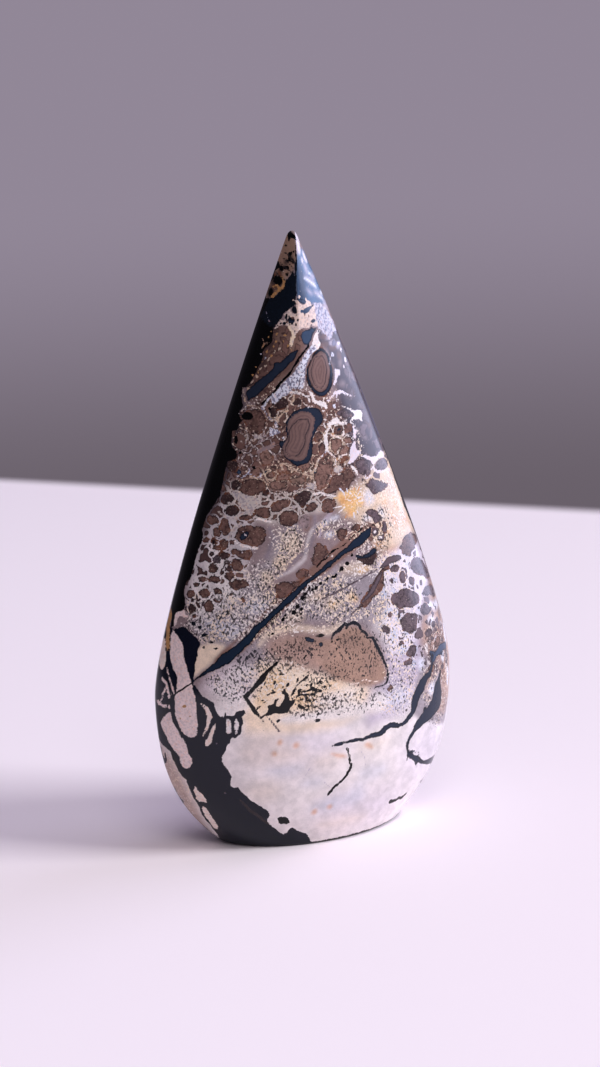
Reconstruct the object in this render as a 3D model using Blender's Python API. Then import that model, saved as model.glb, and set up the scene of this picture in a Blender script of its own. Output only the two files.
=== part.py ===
"""Jasper point: a polished teardrop of patterned jasper that stands on a flat cut base.

One solid, in metres. +Z is up, +X runs along the stone's width and +Y towards its back.
The origin is under the middle of the belly, at the level of the flat base.
"""

import math

import bmesh
import bpy
import mathutils

MM = 0.001

# Driving dimensions
HEIGHT = 110.0 * MM
BELLY_HALF_WIDTH = 28.7 * MM
BELLY_HEIGHT = 28.2 * MM
BELLY_HALF_DEPTH = 14.0 * MM
BASE_HALF_WIDTH = 17.5 * MM  # where the flank would meet the table if its edge were sharp
ARRIS = 0.8 * MM  # how far the rounding of that edge reaches along the flank and the base
LEAN = 1.5 / 110.0  # the middle line's drift towards +X for each metre of height

# The nose: the blunt end of the tip
NOSE_HALF_WIDTH = 1.05 * MM
NOSE_DROP = 1.0 * MM
NOSE_ROUNDING = 0.55 * MM

# Handles of the curves that run from the nose to the belly and from the belly to the base
FLANK_HANDLE = mathutils.Vector((0.43, -1.0)) * (17.5 * MM)
BELLY_UPPER_HANDLE = 12.7 * MM
BELLY_LOWER_HANDLE = 14.9 * MM
BASE_HANDLE = mathutils.Vector((1.03, 1.0)) * (6.3 * MM)

# Cross-sections: |x / half width| ** dome + |y / half depth| ** edge = 1.
# The body is a lens with domed faces, and the tip is ground to four facets that meet in creases.
BODY_DOME, BODY_EDGE = 2.1, 1.6
TIP_DOME, TIP_EDGE = 1.18, 1.22
FACETS_START = 40.0 * MM
FACETS_FULL = 100.0 * MM
FACETS_FADE = 1.7  # above 1 the facets stay faint until close under the tip
DEPTH_POWER = 0.75  # how slowly the depth falls as the width narrows
TIP_THICKENING = 0.15  # the share that grinding the facets leaves on the depth at their creases
THICKENING_START = 60.0 * MM

# The front crease runs down from the tip a little aslant
CREASE_TOP = 107.3 * MM
CREASE_SLOPE = 0.1
CREASE_BEND = 92.0 * MM
CREASE_END = 50.0 * MM

# Mesh density
SIDES = 72
RINGS = 50
NOSE_STEPS, FLANK_STEPS, LOWER_STEPS, ARRIS_STEPS, BASE_STEPS = 4, 26, 14, 3, 3

JASPER_COLOUR = (0.21, 0.15, 0.12, 1.0)
JASPER_ROUGHNESS = 0.18


def clear_scene():
    for old in list(bpy.data.objects):
        bpy.data.objects.remove(old)


def bezier(start, handle_out, handle_in, end, steps):
    """Points of one Bezier stretch, without its first point."""
    ends = [mathutils.Vector((p[0], p[1], 0.0)) for p in (start, handle_out, handle_in, end)]
    return [(p.x, p.y) for p in mathutils.geometry.interpolate_bezier(*ends, steps + 1)][1:]


def half_outline():
    """(half width, height) pairs from the tip, down the flank and belly, to the middle of the base."""
    tip = mathutils.Vector((0.0, HEIGHT))
    nose = mathutils.Vector((NOSE_HALF_WIDTH, HEIGHT - NOSE_DROP))
    belly = mathutils.Vector((BELLY_HALF_WIDTH, BELLY_HEIGHT))
    corner = mathutils.Vector((BASE_HALF_WIDTH, 0.0))
    arris_top = corner + BASE_HANDLE.normalized() * ARRIS
    arris_foot = mathutils.Vector((BASE_HALF_WIDTH - ARRIS, 0.0))
    up = mathutils.Vector((0.0, 1.0))
    out = mathutils.Vector((1.0, 0.0))
    points = [tuple(tip)]
    points += bezier(tip, tip + out * NOSE_ROUNDING, nose - FLANK_HANDLE * 0.02, nose, NOSE_STEPS)
    points += bezier(nose, nose + FLANK_HANDLE, belly + up * BELLY_UPPER_HANDLE, belly, FLANK_STEPS)
    points += bezier(
        belly, belly - up * BELLY_LOWER_HANDLE, arris_top + BASE_HANDLE, arris_top, LOWER_STEPS
    )
    points += bezier(
        arris_top, arris_top.lerp(corner, 0.55), arris_foot.lerp(corner, 0.55), arris_foot, ARRIS_STEPS
    )
    points += [(arris_foot.x * (1 - i / BASE_STEPS), 0.0) for i in range(1, BASE_STEPS + 1)]
    return points


def smooth_step(value, low, high):
    share = min(max((value - low) / (high - low), 0.0), 1.0)
    return share * share * (3 - 2 * share)


def signed_power(value, power):
    return math.copysign(abs(value) ** power, value)


def middle_line(height):
    return LEAN * (height - BELLY_HEIGHT)


def crease_shift(height):
    """How far the ridge of the front stands from the middle line."""
    fade = smooth_step(height, CREASE_END, CREASE_BEND)
    return CREASE_SLOPE * (max(height, CREASE_BEND) - CREASE_TOP) * fade


def section_point(half_width, height, outline_height, angle):
    """The point of the surface at one angle round the section whose size is half_width."""
    facets = (outline_height - FACETS_START) / (FACETS_FULL - FACETS_START)
    facets = min(max(facets, 0.0), 1.0) ** FACETS_FADE
    dome = BODY_DOME + (TIP_DOME - BODY_DOME) * facets
    edge = BODY_EDGE + (TIP_EDGE - BODY_EDGE) * facets
    thickening = 1 + TIP_THICKENING * smooth_step(outline_height, THICKENING_START, FACETS_FULL)
    half_depth = BELLY_HALF_DEPTH * (half_width / BELLY_HALF_WIDTH) ** DEPTH_POWER * thickening
    x = half_width * signed_power(math.cos(angle), 2 / dome)
    deep = signed_power(math.sin(angle), 2 / edge)
    x += crease_shift(outline_height) * max(0.0, -deep) ** (2 - facets)
    return (x + middle_line(height), half_depth * deep, height)


def make_stone():
    """A sphere whose parallels become the sections: its poles are the tip and the middle of the base."""
    outline = half_outline()
    base_rim = len(outline) - 1 - BASE_STEPS
    rim_half_width = outline[base_rim][0]
    mesh = bpy.data.meshes.new("jasper_point")
    shaper = bmesh.new()
    bmesh.ops.create_uvsphere(shaper, u_segments=SIDES, v_segments=RINGS, radius=1.0)
    for vertex in shaper.verts:
        latitude = math.acos(max(-1.0, min(1.0, vertex.co.z)))
        row = round(latitude / math.pi * RINGS)
        angle = math.atan2(vertex.co.y, vertex.co.x)
        half_width, height = outline[row]
        if row > base_rim:
            middle = mathutils.Vector((middle_line(0.0), 0.0, 0.0))
            rim = mathutils.Vector(section_point(rim_half_width, 0.0, 0.0, angle))
            vertex.co = middle.lerp(rim, half_width / rim_half_width)
        elif half_width == 0.0:
            vertex.co = (middle_line(height), 0.0, height)
        else:
            vertex.co = section_point(half_width, height, height, angle)
    bmesh.ops.recalc_face_normals(shaper, faces=shaper.faces)
    shaper.to_mesh(mesh)
    shaper.free()
    mesh.shade_smooth()
    mesh.set_sharp_from_angle(angle=math.radians(35))
    return mesh


def jasper_material():
    material = bpy.data.materials.new("polished_jasper")
    material.use_nodes = True
    shader = material.node_tree.nodes["Principled BSDF"]
    shader.inputs["Base Color"].default_value = JASPER_COLOUR
    shader.inputs["Roughness"].default_value = JASPER_ROUGHNESS
    shader.inputs["Metallic"].default_value = 0.0
    return material


def main():
    clear_scene()
    collection = bpy.data.collections.new("jasper_point_parts")
    bpy.context.scene.collection.children.link(collection)
    mesh = make_stone()
    mesh.materials.append(jasper_material())
    stone = bpy.data.objects.new("jasper_point", mesh)
    collection.objects.link(stone)


main()
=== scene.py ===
import math

import bmesh
import bpy
import numpy as np
from mathutils import Matrix, Vector, noise


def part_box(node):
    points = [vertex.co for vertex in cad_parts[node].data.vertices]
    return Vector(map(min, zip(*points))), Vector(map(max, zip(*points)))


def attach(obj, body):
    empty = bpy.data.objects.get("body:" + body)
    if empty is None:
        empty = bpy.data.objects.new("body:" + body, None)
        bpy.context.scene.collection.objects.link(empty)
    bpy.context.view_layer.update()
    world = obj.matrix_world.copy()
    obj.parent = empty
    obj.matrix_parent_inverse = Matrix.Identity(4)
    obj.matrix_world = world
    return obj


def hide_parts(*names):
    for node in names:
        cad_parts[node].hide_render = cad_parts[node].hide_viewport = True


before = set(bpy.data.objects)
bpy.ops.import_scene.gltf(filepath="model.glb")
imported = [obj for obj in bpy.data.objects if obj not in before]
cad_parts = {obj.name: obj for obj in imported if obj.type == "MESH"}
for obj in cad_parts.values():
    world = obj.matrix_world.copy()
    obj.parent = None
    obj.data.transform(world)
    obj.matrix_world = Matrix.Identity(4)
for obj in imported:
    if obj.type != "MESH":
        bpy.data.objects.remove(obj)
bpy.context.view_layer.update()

mm = 0.001


class Signal:
    # one output of a node tree; arithmetic on it adds Math nodes to that tree
    def __init__(self, maker, socket):
        self.maker = maker
        self.socket = socket

    def maths(self, operation, *others):
        return self.maker.add("ShaderNodeMath", {"operation": operation}, dict(enumerate((self, *others))))

    def __add__(self, other):
        return self.maths("ADD", other)

    def __sub__(self, other):
        return self.maths("SUBTRACT", other)

    def __rsub__(self, other):
        return self.maker.add("ShaderNodeMath", {"operation": "SUBTRACT"}, {0: other, 1: self})

    def __mul__(self, other):
        return self.maths("MULTIPLY", other)

    def __truediv__(self, other):
        return self.maths("DIVIDE", other)

    def __rtruediv__(self, other):
        return self.maker.add("ShaderNodeMath", {"operation": "DIVIDE"}, {0: other, 1: self})

    def __pow__(self, other):
        return self.maths("POWER", other)

    __radd__ = __add__
    __rmul__ = __mul__

    def least(self, other):
        return self.maths("MINIMUM", other)

    def most(self, other):
        return self.maths("MAXIMUM", other)

    def size(self):
        return self.maths("ABSOLUTE")

    def step(self, low, high):
        sockets = {"Value": self, "From Min": low, "From Max": high}
        return self.maker.add("ShaderNodeMapRange", {"interpolation_type": "SMOOTHSTEP"}, sockets)


class Maker:
    # adds nodes to one tree: type, settings, then values or links for its sockets
    def __init__(self, tree):
        self.tree = tree

    def add(self, kind, settings=None, sockets=None, out=0):
        node = self.tree.nodes.new(kind)
        for name, value in (settings or {}).items():
            setattr(node, name, value)
        for key, value in (sockets or {}).items():
            if isinstance(value, Signal):
                self.tree.links.new(value.socket, node.inputs[key])
            else:
                node.inputs[key].default_value = value
        return Signal(self, node.outputs[out]) if len(node.outputs) else node

    def mix(self, factor, first, second, kind="MIX"):
        settings = {"data_type": "RGBA", "blend_type": kind}
        return self.add("ShaderNodeMix", settings, {0: factor, 6: first, 7: second}, out=2)

    def parts(self, vector):
        first = self.add("ShaderNodeSeparateXYZ", None, {0: vector})
        return tuple(Signal(self, socket) for socket in first.socket.node.outputs)

    def attribute(self, name):
        # the colour (or vector) kept under that name on the mesh, and its fourth number
        colour = self.add("ShaderNodeAttribute", {"attribute_name": name})
        return colour, Signal(self, colour.socket.node.outputs["Alpha"])


form = {
    "bellyHeight": 28.2,  # mm, as are all the sizes here
    "baseHalfWidth": 17.5,
    "baseRatio": 1.8,  # its width to its depth
    "baseRim": 0.93,  # share of it from which a point of the base counts as rim
    "arris": 0.8,
    "lean": 1.5 / 110,  # drift of the middle line for each mm of height
    "noseHalfWidth": 1.05,
    "noseDrop": 1.0,
    "noseRounding": 0.55,
    "flankHandle": (0.43 * 17.5, 17.5),
    "bellyHandles": (12.7, 14.9),  # above and below the belly
    "baseHandle": (1.03 * 6.3, 6.3),
    "bodySection": (2.1, 1.6),  # powers of the lens: dome, edge
    "tipSection": (1.18, 1.22),  # powers of the four facets at the tip
    "facets": (40, 100, 1.7),  # heights where they start and are full, and how late they come
    "depthPower": 0.75,
    "thickening": (0.15, 60),  # share of the depth that the facets keep, and where it starts
    "crease": (107.3, 0.1, 92, 50),  # top of the front crease, its slope, its bend and its end
    "frontColumns": 196,
    "backColumns": 76,
    "rows": 352,
    "baseRows": 8,
}

stoneLow, stoneHigh = (np.array(corner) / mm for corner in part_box("jasper_point"))
height = stoneHigh[2] - stoneLow[2]
bellyHalfWidth = (stoneHigh[0] - stoneLow[0]) / 2 - 0.01
bellyHalfDepth = (stoneHigh[1] - stoneLow[1]) / 2


def profilePoints():
    # (point, handle before, handle after) from the tip to the edge of the base, in mm
    dx, dz = form["flankHandle"]
    up, down = form["bellyHandles"]
    bx, bz = form["baseHandle"]
    run = math.hypot(bx, bz) / form["arris"]
    corner = (form["baseHalfWidth"], 0)
    arrisTop = (corner[0] + bx / run, bz / run)
    arrisFoot = (corner[0] - form["arris"], 0)
    nose = (form["noseHalfWidth"], height - form["noseDrop"])
    belly = (bellyHalfWidth, form["bellyHeight"])

    def towards(start, end, share=0.55):
        return (start[0] + (end[0] - start[0]) * share, start[1] + (end[1] - start[1]) * share)

    return (
        ((0, height), (0, height), (form["noseRounding"], height)),
        (nose, (nose[0] - dx * 0.02, nose[1] + dz * 0.02), (nose[0] + dx, nose[1] - dz)),
        (belly, (belly[0], belly[1] + up), (belly[0], belly[1] - down)),
        (arrisTop, (arrisTop[0] + bx, arrisTop[1] + bz), towards(arrisTop, corner)),
        (arrisFoot, towards(arrisFoot, corner), arrisFoot),
    )


def drawProfile():
    curve = bpy.data.curves.new("stoneProfile", "CURVE")
    curve.dimensions = "3D"
    curve.resolution_u = 64
    points = profilePoints()
    spline = curve.splines.new("BEZIER")
    spline.bezier_points.add(len(points) - 1)
    for knot, (place, before, after) in zip(spline.bezier_points, points):
        knot.handle_left_type = knot.handle_right_type = "FREE"
        knot.co = (place[0] * mm, 0, place[1] * mm)
        knot.handle_left = (before[0] * mm, 0, before[1] * mm)
        knot.handle_right = (after[0] * mm, 0, after[1] * mm)
    profile = bpy.data.objects.new("stoneProfile", curve)
    bpy.context.scene.collection.objects.link(profile)
    return profile


def formTree(material):
    # a flat grid whose columns go once round the stone and whose rows go from tip to base
    tree = bpy.data.node_groups.new("stoneForm", "GeometryNodeTree")
    face = tree.interface
    face.new_socket("Profile", in_out="INPUT", socket_type="NodeSocketGeometry")
    for name in ("Belly Half Width", "Belly Half Depth", "Belly Height", "Lean", "Front Share"):
        face.new_socket(name, in_out="INPUT", socket_type="NodeSocketFloat")
    for name in ("Columns", "Rows"):
        face.new_socket(name, in_out="INPUT", socket_type="NodeSocketInt")
    face.new_socket("Stone", in_out="OUTPUT", socket_type="NodeSocketGeometry")
    maker = Maker(tree)
    given = tree.nodes.new("NodeGroupInput")
    given = {socket.name: Signal(maker, socket) for socket in given.outputs if socket.name}

    sheet = maker.add("GeometryNodeMeshGrid", None, {
        "Size X": 1.0, "Size Y": 1.0, "Vertices X": given["Columns"], "Vertices Y": given["Rows"]})
    column, row, _ = maker.parts(maker.add("GeometryNodeInputPosition"))
    column, row = 0.5 - column, row + 0.5

    # half a turn for the front and half for the back, columns a little closer at the long edges
    share = given["Front Share"]
    crowd = 0.3 / (2 * math.pi)
    turn = 1
    for part in ((column / share).least(1), ((column - share) / (1 - share)).most(0)):
        turn = part + (part * (2 * math.pi)).maths("SINE") * crowd + turn
    across = (turn * math.pi).maths("COSINE")
    deep = (turn * math.pi).maths("SINE")

    body = 1 - form["baseRows"] / form["rows"]  # the last rows close the base
    shrink = 1 - ((row - body) / (1 - body)).most(0)
    sample = maker.add("GeometryNodeSampleCurve", {"mode": "FACTOR", "use_all_curves": True},
                       {"Curves": given["Profile"], "Factor": (row / body).least(1)}, out=1)
    width, _, level = maker.parts(sample)

    start, full, fade = form["facets"]
    facets = ((level - start * mm) / ((full - start) * mm)).most(0).least(1) ** fade
    dome, edge = (facets * (tip - lens) + lens
                  for tip, lens in zip(form["tipSection"], form["bodySection"]))
    keep, keepFrom = form["thickening"]
    depth = given["Belly Half Depth"] * (width / given["Belly Half Width"]) ** form["depthPower"]
    depth = depth * (level.step(keepFrom * mm, full * mm) * keep + 1)
    y = deep.size() ** (2 / edge) * deep.maths("SIGN")
    top, slope, bend, end = form["crease"]
    crease = (level.most(bend * mm) - top * mm) * slope * level.step(end * mm, bend * mm)
    x = across.size() ** (2 / dome) * across.maths("SIGN") * width
    x = (x + crease * (0 - y).most(0) ** (2 - facets)) * shrink
    x = x + given["Lean"] * (level - given["Belly Height"])
    spot = maker.add("ShaderNodeCombineXYZ", None, {0: x, 1: y * depth * shrink, 2: level})

    stone = maker.add("GeometryNodeSetPosition", None, {"Geometry": sheet, "Position": spot})
    stone = maker.add("GeometryNodeMergeByDistance", None, {"Geometry": stone, "Distance": 2e-6})
    stone = maker.add("GeometryNodeSetShadeSmooth", None, {0: stone})
    stone = maker.add("GeometryNodeRealizeInstances", None, {0: stone})
    stone = maker.add("GeometryNodeSetMaterial", None, {"Geometry": stone, "Material": material})
    maker.add("NodeGroupOutput", None, {0: stone})
    return tree


def makeStone(material):
    profile = drawProfile()
    tree = formTree(material)
    modifier = profile.modifiers.new("stoneForm", "NODES")
    modifier.node_group = tree
    columns = form["frontColumns"] + form["backColumns"]
    values = {
        "Belly Half Width": bellyHalfWidth * mm, "Belly Half Depth": bellyHalfDepth * mm,
        "Belly Height": form["bellyHeight"] * mm, "Lean": form["lean"],
        "Front Share": form["frontColumns"] / columns, "Columns": columns + 1, "Rows": form["rows"] + 1,
    }
    for item in tree.interface.items_tree:
        if item.in_out == "INPUT" and item.name in values:
            modifier[item.identifier] = values[item.name]
    mesh = bpy.data.meshes.new_from_object(profile.evaluated_get(bpy.context.evaluated_depsgraph_get()))
    bpy.data.objects.remove(profile)
    mesh.name = "jasperStone"
    mesh.update()
    stone = bpy.data.objects.new("jasperStone", mesh)
    bpy.context.scene.collection.objects.link(stone)
    return stone


material = bpy.data.materials.new("polishedJasper")
stone = makeStone(material)
print("form:", len(stone.data.vertices), "points,", len(stone.data.polygons), "faces")


# the surface unrolled: how far round from the middle of the front, and how high, both in mm
wander = {
    "reach": 0.2,  # how far a marking's edge strays from its drawn line
    "grain": 1.7,  # size of the waves in it
    "seed": 11,
    "seam": ((0.9, 0.8), (0.5, 2.3)),  # swings of the line where front and back meet, and their pace
}
farOff = 99.0  # mm, more than any distance on the stone


def pointsOf(stone):
    places = np.empty(len(stone.data.vertices) * 3, np.float32)
    stone.data.vertices.foreach_get("co", places)
    return places.reshape(-1, 3).astype(float) / mm


def girthOf(places):
    # arc length from the middle of the front: towards +X it counts up, and on over the edge
    girth = np.zeros(len(places))
    whole = np.ones(len(places))
    levels = np.round(places[:, 2], 3)
    for level in np.unique(levels):
        ring = np.flatnonzero(levels == level)
        middle = form["lean"] * (level - form["bellyHeight"])
        x, y = places[ring, 0] - middle, places[ring, 1]
        if level < 0.01:  # the flat base takes its rim's figures
            rim = np.hypot(x, y * form["baseRatio"]) > form["baseHalfWidth"] * form["baseRim"]
        else:
            rim = np.ones(len(ring), bool)
        angle = np.arctan2(y, x)
        order = np.argsort(angle[rim])
        edge = np.flatnonzero(rim)[order]
        if len(edge) < 4:
            continue
        steps = np.hypot(np.diff(x[edge], append=x[edge[0]]), np.diff(y[edge], append=y[edge[0]]))
        along = np.concatenate([[0], np.cumsum(steps)])
        start = np.interp(-math.pi / 2, angle[edge], along[:-1])
        arc = np.interp(angle, angle[edge], along[:-1]) - start
        arc[arc > along[-1] / 2] -= along[-1]
        girth[ring], whole[ring] = arc, along[-1]
    return girth, whole


places = pointsOf(stone)
girth, wholeGirth = girthOf(places)
levels = places[:, 2]
backGirth = girth - np.sign(girth) * wholeGirth / 2  # the same, from the middle of the back


def strayed(places, seed):
    # a smooth random step for each point, so drawn outlines come out uneven
    shift = Vector((seed * 7.3, seed * 3.1, seed * 1.7))
    waves = [noise.noise_vector(Vector(place) / wander["grain"] + shift) for place in places]
    return np.array(waves) * wander["reach"]


noise.seed_set(wander["seed"])  # it goes by the clock until it is set
drift = strayed(places, wander["seed"])
seam = wholeGirth / 4 - np.abs(backGirth)
for swing, pace in wander["seam"]:
    seam = seam + swing * np.sin(levels * pace)
sheets = {  # across, up, and how far in from the seam with the other sheet
    "front": (girth + drift[:, 0], levels + drift[:, 1], np.full(len(places), farOff)),
    "back": (np.where(seam > 0, backGirth + drift[:, 0], farOff), levels + drift[:, 2], seam),
}
print("unrolled:", round(wholeGirth.max(), 1), "mm round the belly")

# sRGB colours of the stone's minerals, with how dark-edged or speckled each is (or, below 0, how ringed)
minerals = {
    "cream": (235, 226, 224, 0.15), "warmCream": (238, 216, 192, 0), "blueWhite": (218, 219, 232, 0.9),
    "pinkWhite": (220, 210, 220, 0), "tipCream": (224, 201, 190, 0.3), "tipLace": (190, 184, 200, 0.7),
    "sand": (200, 178, 158, 0.2), "fairSand": (206, 182, 160, 0), "yellow": (230, 186, 124, 0),
    "orange": (214, 148, 92, 0), "greyCream": (196, 184, 178, 0.5), "lavender": (140, 122, 124, 0),
    "greyLavender": (128, 118, 130, 0), "paleLavender": (190, 178, 194, 0), "rose": (174, 142, 127, 0),
    "pinkBrown": (166, 134, 117, 0), "pinkGrey": (216, 202, 208, 0), "ash": (150, 140, 146, 0),
    "fog": (202, 193, 195, 0), "dusk": (66, 57, 66, 0.4), "goldBeige": (176, 132, 88, 0),
    "beige": (150, 120, 104, 0), "lens": (240, 219, 215, 0.2), "lensPale": (240, 222, 212, 0.1),
    "tan": (132, 106, 96, 0.7), "lightBrown": (130, 100, 91, 0.8), "brown": (103, 77, 71, 0.85),
    "deepBrown": (66, 49, 49, 0.85), "darkBrown": (44, 35, 38, 0.6), "slateBrown": (96, 82, 88, 0.6),
    "umber": (46, 38, 40, 0), "rust": (112, 68, 48, 0), "heart": (122, 97, 93, -1.6),
    "heartRing": (74, 60, 62, 0), "violetSlate": (116, 112, 134, 0.3), "flankSlate": (76, 73, 90, 0.3),
    "slate": (58, 74, 98, 0.7), "facetBlue": (70, 98, 132, 0), "blueSmoke": (186, 192, 212, 0),
    "deepSlate": (34, 43, 60, 0.7), "veinSlate": (24, 37, 55, 0.85), "navy": (12, 19, 30, 0),
    "softBlack": (9, 14, 30, 0), "black": (3, 3, 5, 0),
}


def linear(name):
    # the mineral's colour as linear light, then its fourth number as it is
    *shades, rim = minerals[name]
    return (*(c / 255 / 12.92 if c <= 10 else ((c / 255 + 0.055) / 1.055) ** 2.4 for c in shades), rim)


def rounded(corners):
    # cuts each corner of an outline once
    after = np.roll(corners, -1, axis=0)
    cut = np.stack([corners * 0.78 + after * 0.22, corners * 0.22 + after * 0.78], axis=1)
    return cut.reshape(-1, 2)


def nearestEdge(across, up, starts, ends, startHalf, endHalf):
    # least distance to a set of line pieces, less the half width that the line has there
    best = np.full(len(across), farOff)
    for start, end, first, last in zip(starts, ends, startHalf, endHalf):
        run = end - start
        share = ((across - start[0]) * run[0] + (up - start[1]) * run[1]) / max(run @ run, 1e-9)
        share = np.clip(share, 0, 1)
        gap = np.hypot(across - start[0] - run[0] * share, up - start[1] - run[1] * share)
        best = np.minimum(best, gap - first - (last - first) * share)
    return best


def insideOutline(across, up, corners):
    inside = np.zeros(len(across), bool)
    for (x1, z1), (x2, z2) in zip(corners, np.roll(corners, -1, axis=0)):
        if z1 != z2:
            crosses = (z1 > up) != (z2 > up)
            inside ^= crosses & (across < (x2 - x1) * (up - z1) / (z2 - z1) + x1)
    return inside


class Drawing:
    # shapes drawn on the unrolled surface, as depths in mm from their edges
    margin = 1.5

    def __init__(self, sheet="front"):
        self.across, self.up, self.seam = sheets[sheet]

    def near(self, low, high, margin):
        return np.flatnonzero((self.across > low[0] - margin) & (self.across < high[0] + margin)
                              & (self.up > low[1] - margin) & (self.up < high[1] + margin))

    def outline(self, corners, smooth=True, margin=None):
        corners = np.reshape(corners, (-1, 2)).astype(float)  # they come as across, up, across, up, ...
        if smooth:
            corners = rounded(corners)
        ids = self.near(corners.min(0), corners.max(0), margin or self.margin)
        across, up = self.across[ids], self.up[ids]
        none = np.zeros(len(corners))
        gap = nearestEdge(across, up, corners, np.roll(corners, -1, axis=0), none, none)
        return ids, np.where(insideOutline(across, up, corners), gap, -gap)

    def stroke(self, knots, margin=None):
        knots = np.array(knots, float)
        margin = (margin or self.margin) + knots[:, 2].max()
        ids = self.near(knots[:, :2].min(0), knots[:, :2].max(0), margin)
        line, half = knots[:, :2], knots[:, 2]
        return ids, -nearestEdge(self.across[ids], self.up[ids], line[:-1], line[1:], half[:-1], half[1:])

    def oval(self, across, up, wide, high=None, tilt=0, margin=None):
        high = high or wide
        reach = max(wide, high)
        ids = self.near(np.array((across - reach, up - reach)), np.array((across + reach, up + reach)),
                        margin or self.margin)
        u, v = self.across[ids] - across, self.up[ids] - up
        c, s = math.cos(math.radians(tilt)), math.sin(math.radians(tilt))
        u, v = u * c + v * s, v * c - u * s
        first = np.hypot(u / wide, v / high)
        second = np.hypot(u / wide ** 2, v / high ** 2)
        return ids, np.where(second > 1e-6, first * (1 - first) / np.maximum(second, 1e-6), min(wide, high))


class Layer:
    # for every point of the stone, how deep it lies in the layer's shapes, and their mineral there
    def __init__(self, apart=False):
        count = len(places)
        self.depth = np.full(count, -Drawing.margin)
        self.rival = np.full(count, -Drawing.margin)
        self.colour = np.zeros((count, 4))
        self.apart = apart  # shapes that overlap keep a gap between them
        self.draw = Drawing()

    def on(self, sheet):
        self.draw = Drawing(sheet)

    def lay(self, mineral, shape):
        ids, depth = shape
        depth = np.minimum(depth, self.draw.seam[ids])
        deeper = depth > self.depth[ids]
        self.rival[ids] = np.where(deeper, self.depth[ids], np.maximum(self.rival[ids], depth))
        self.depth[ids[deeper]] = depth[deeper]
        self.colour[ids[deeper]] = linear(mineral)

    def patch(self, mineral, *corners, smooth=True):
        self.lay(mineral, self.draw.outline(corners, smooth))

    def vein(self, mineral, *knots, half=None):
        # knots are (across, up, half width), or only across, up, ... where half gives one width to all
        if half:
            knots = [(*knot, half) for knot in np.reshape(knots, (-1, 2))]
        self.lay(mineral, self.draw.stroke(knots))

    def spots(self, mineral, *ovals):
        for oval in ovals:
            self.lay(mineral, self.draw.oval(*oval))

    def ring(self, mineral, outer, inner, inset):
        ids, depth = self.draw.outline(outer)
        near, hole = self.draw.outline(inner)
        cut = np.full(len(places), -farOff)
        cut[near] = hole
        self.lay(mineral, (ids, np.minimum(depth - inset, -cut[ids])))

    def edge(self):
        if self.apart:
            return np.minimum(self.depth, (self.depth - self.rival) / 2)
        return self.depth


class Wash:
    # soft colour or strength, blended in one patch after another
    def __init__(self, start):
        self.value = np.tile(np.array(start, float), (len(places), 1))
        self.draw = Drawing()

    def on(self, sheet):
        self.draw = Drawing(sheet)

    def blend(self, target, strength, soft, shape):
        ids, depth = shape
        share = np.clip(depth / soft / 2 + 0.5, 0, 1)
        share = share * share * (3 - 2 * share) * strength
        share = (share * np.clip(self.draw.seam[ids] / 3, 0, 1))[:, None]
        self.value[ids] = self.value[ids] * (1 - share) + np.array(target, float) * share

    def target(self, value):
        return linear(value)[:3] if isinstance(value, str) else (value,)

    def pools(self, value, strength, soft, *ovals):
        for oval in ovals:
            self.blend(self.target(value), strength, soft, self.draw.oval(*oval, margin=soft + 1))

    def area(self, value, strength, soft, *corners):
        self.blend(self.target(value), strength, soft, self.draw.outline(corners, margin=soft + 1))

    def trail(self, value, strength, soft, *knots):
        self.blend(self.target(value), strength, soft, self.draw.stroke(knots, margin=soft + 1))


# the markings, from the ground up: soft ground colours, cells, dark minerals, pale ones, fine darks
ground = Wash(linear("lavender")[:3])
worms = Wash((0.35,))  # share of the ground under fine cream threads
flecks = Wash((0.12,))  # share of it under fine dark flecks
packed = Wash((0,))  # share of it under close-packed cells
packedMineral = Wash(linear("brown")[:3])
cells, darks, lights, fines = Layer(apart=True), Layer(), Layer(), Layer()


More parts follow.
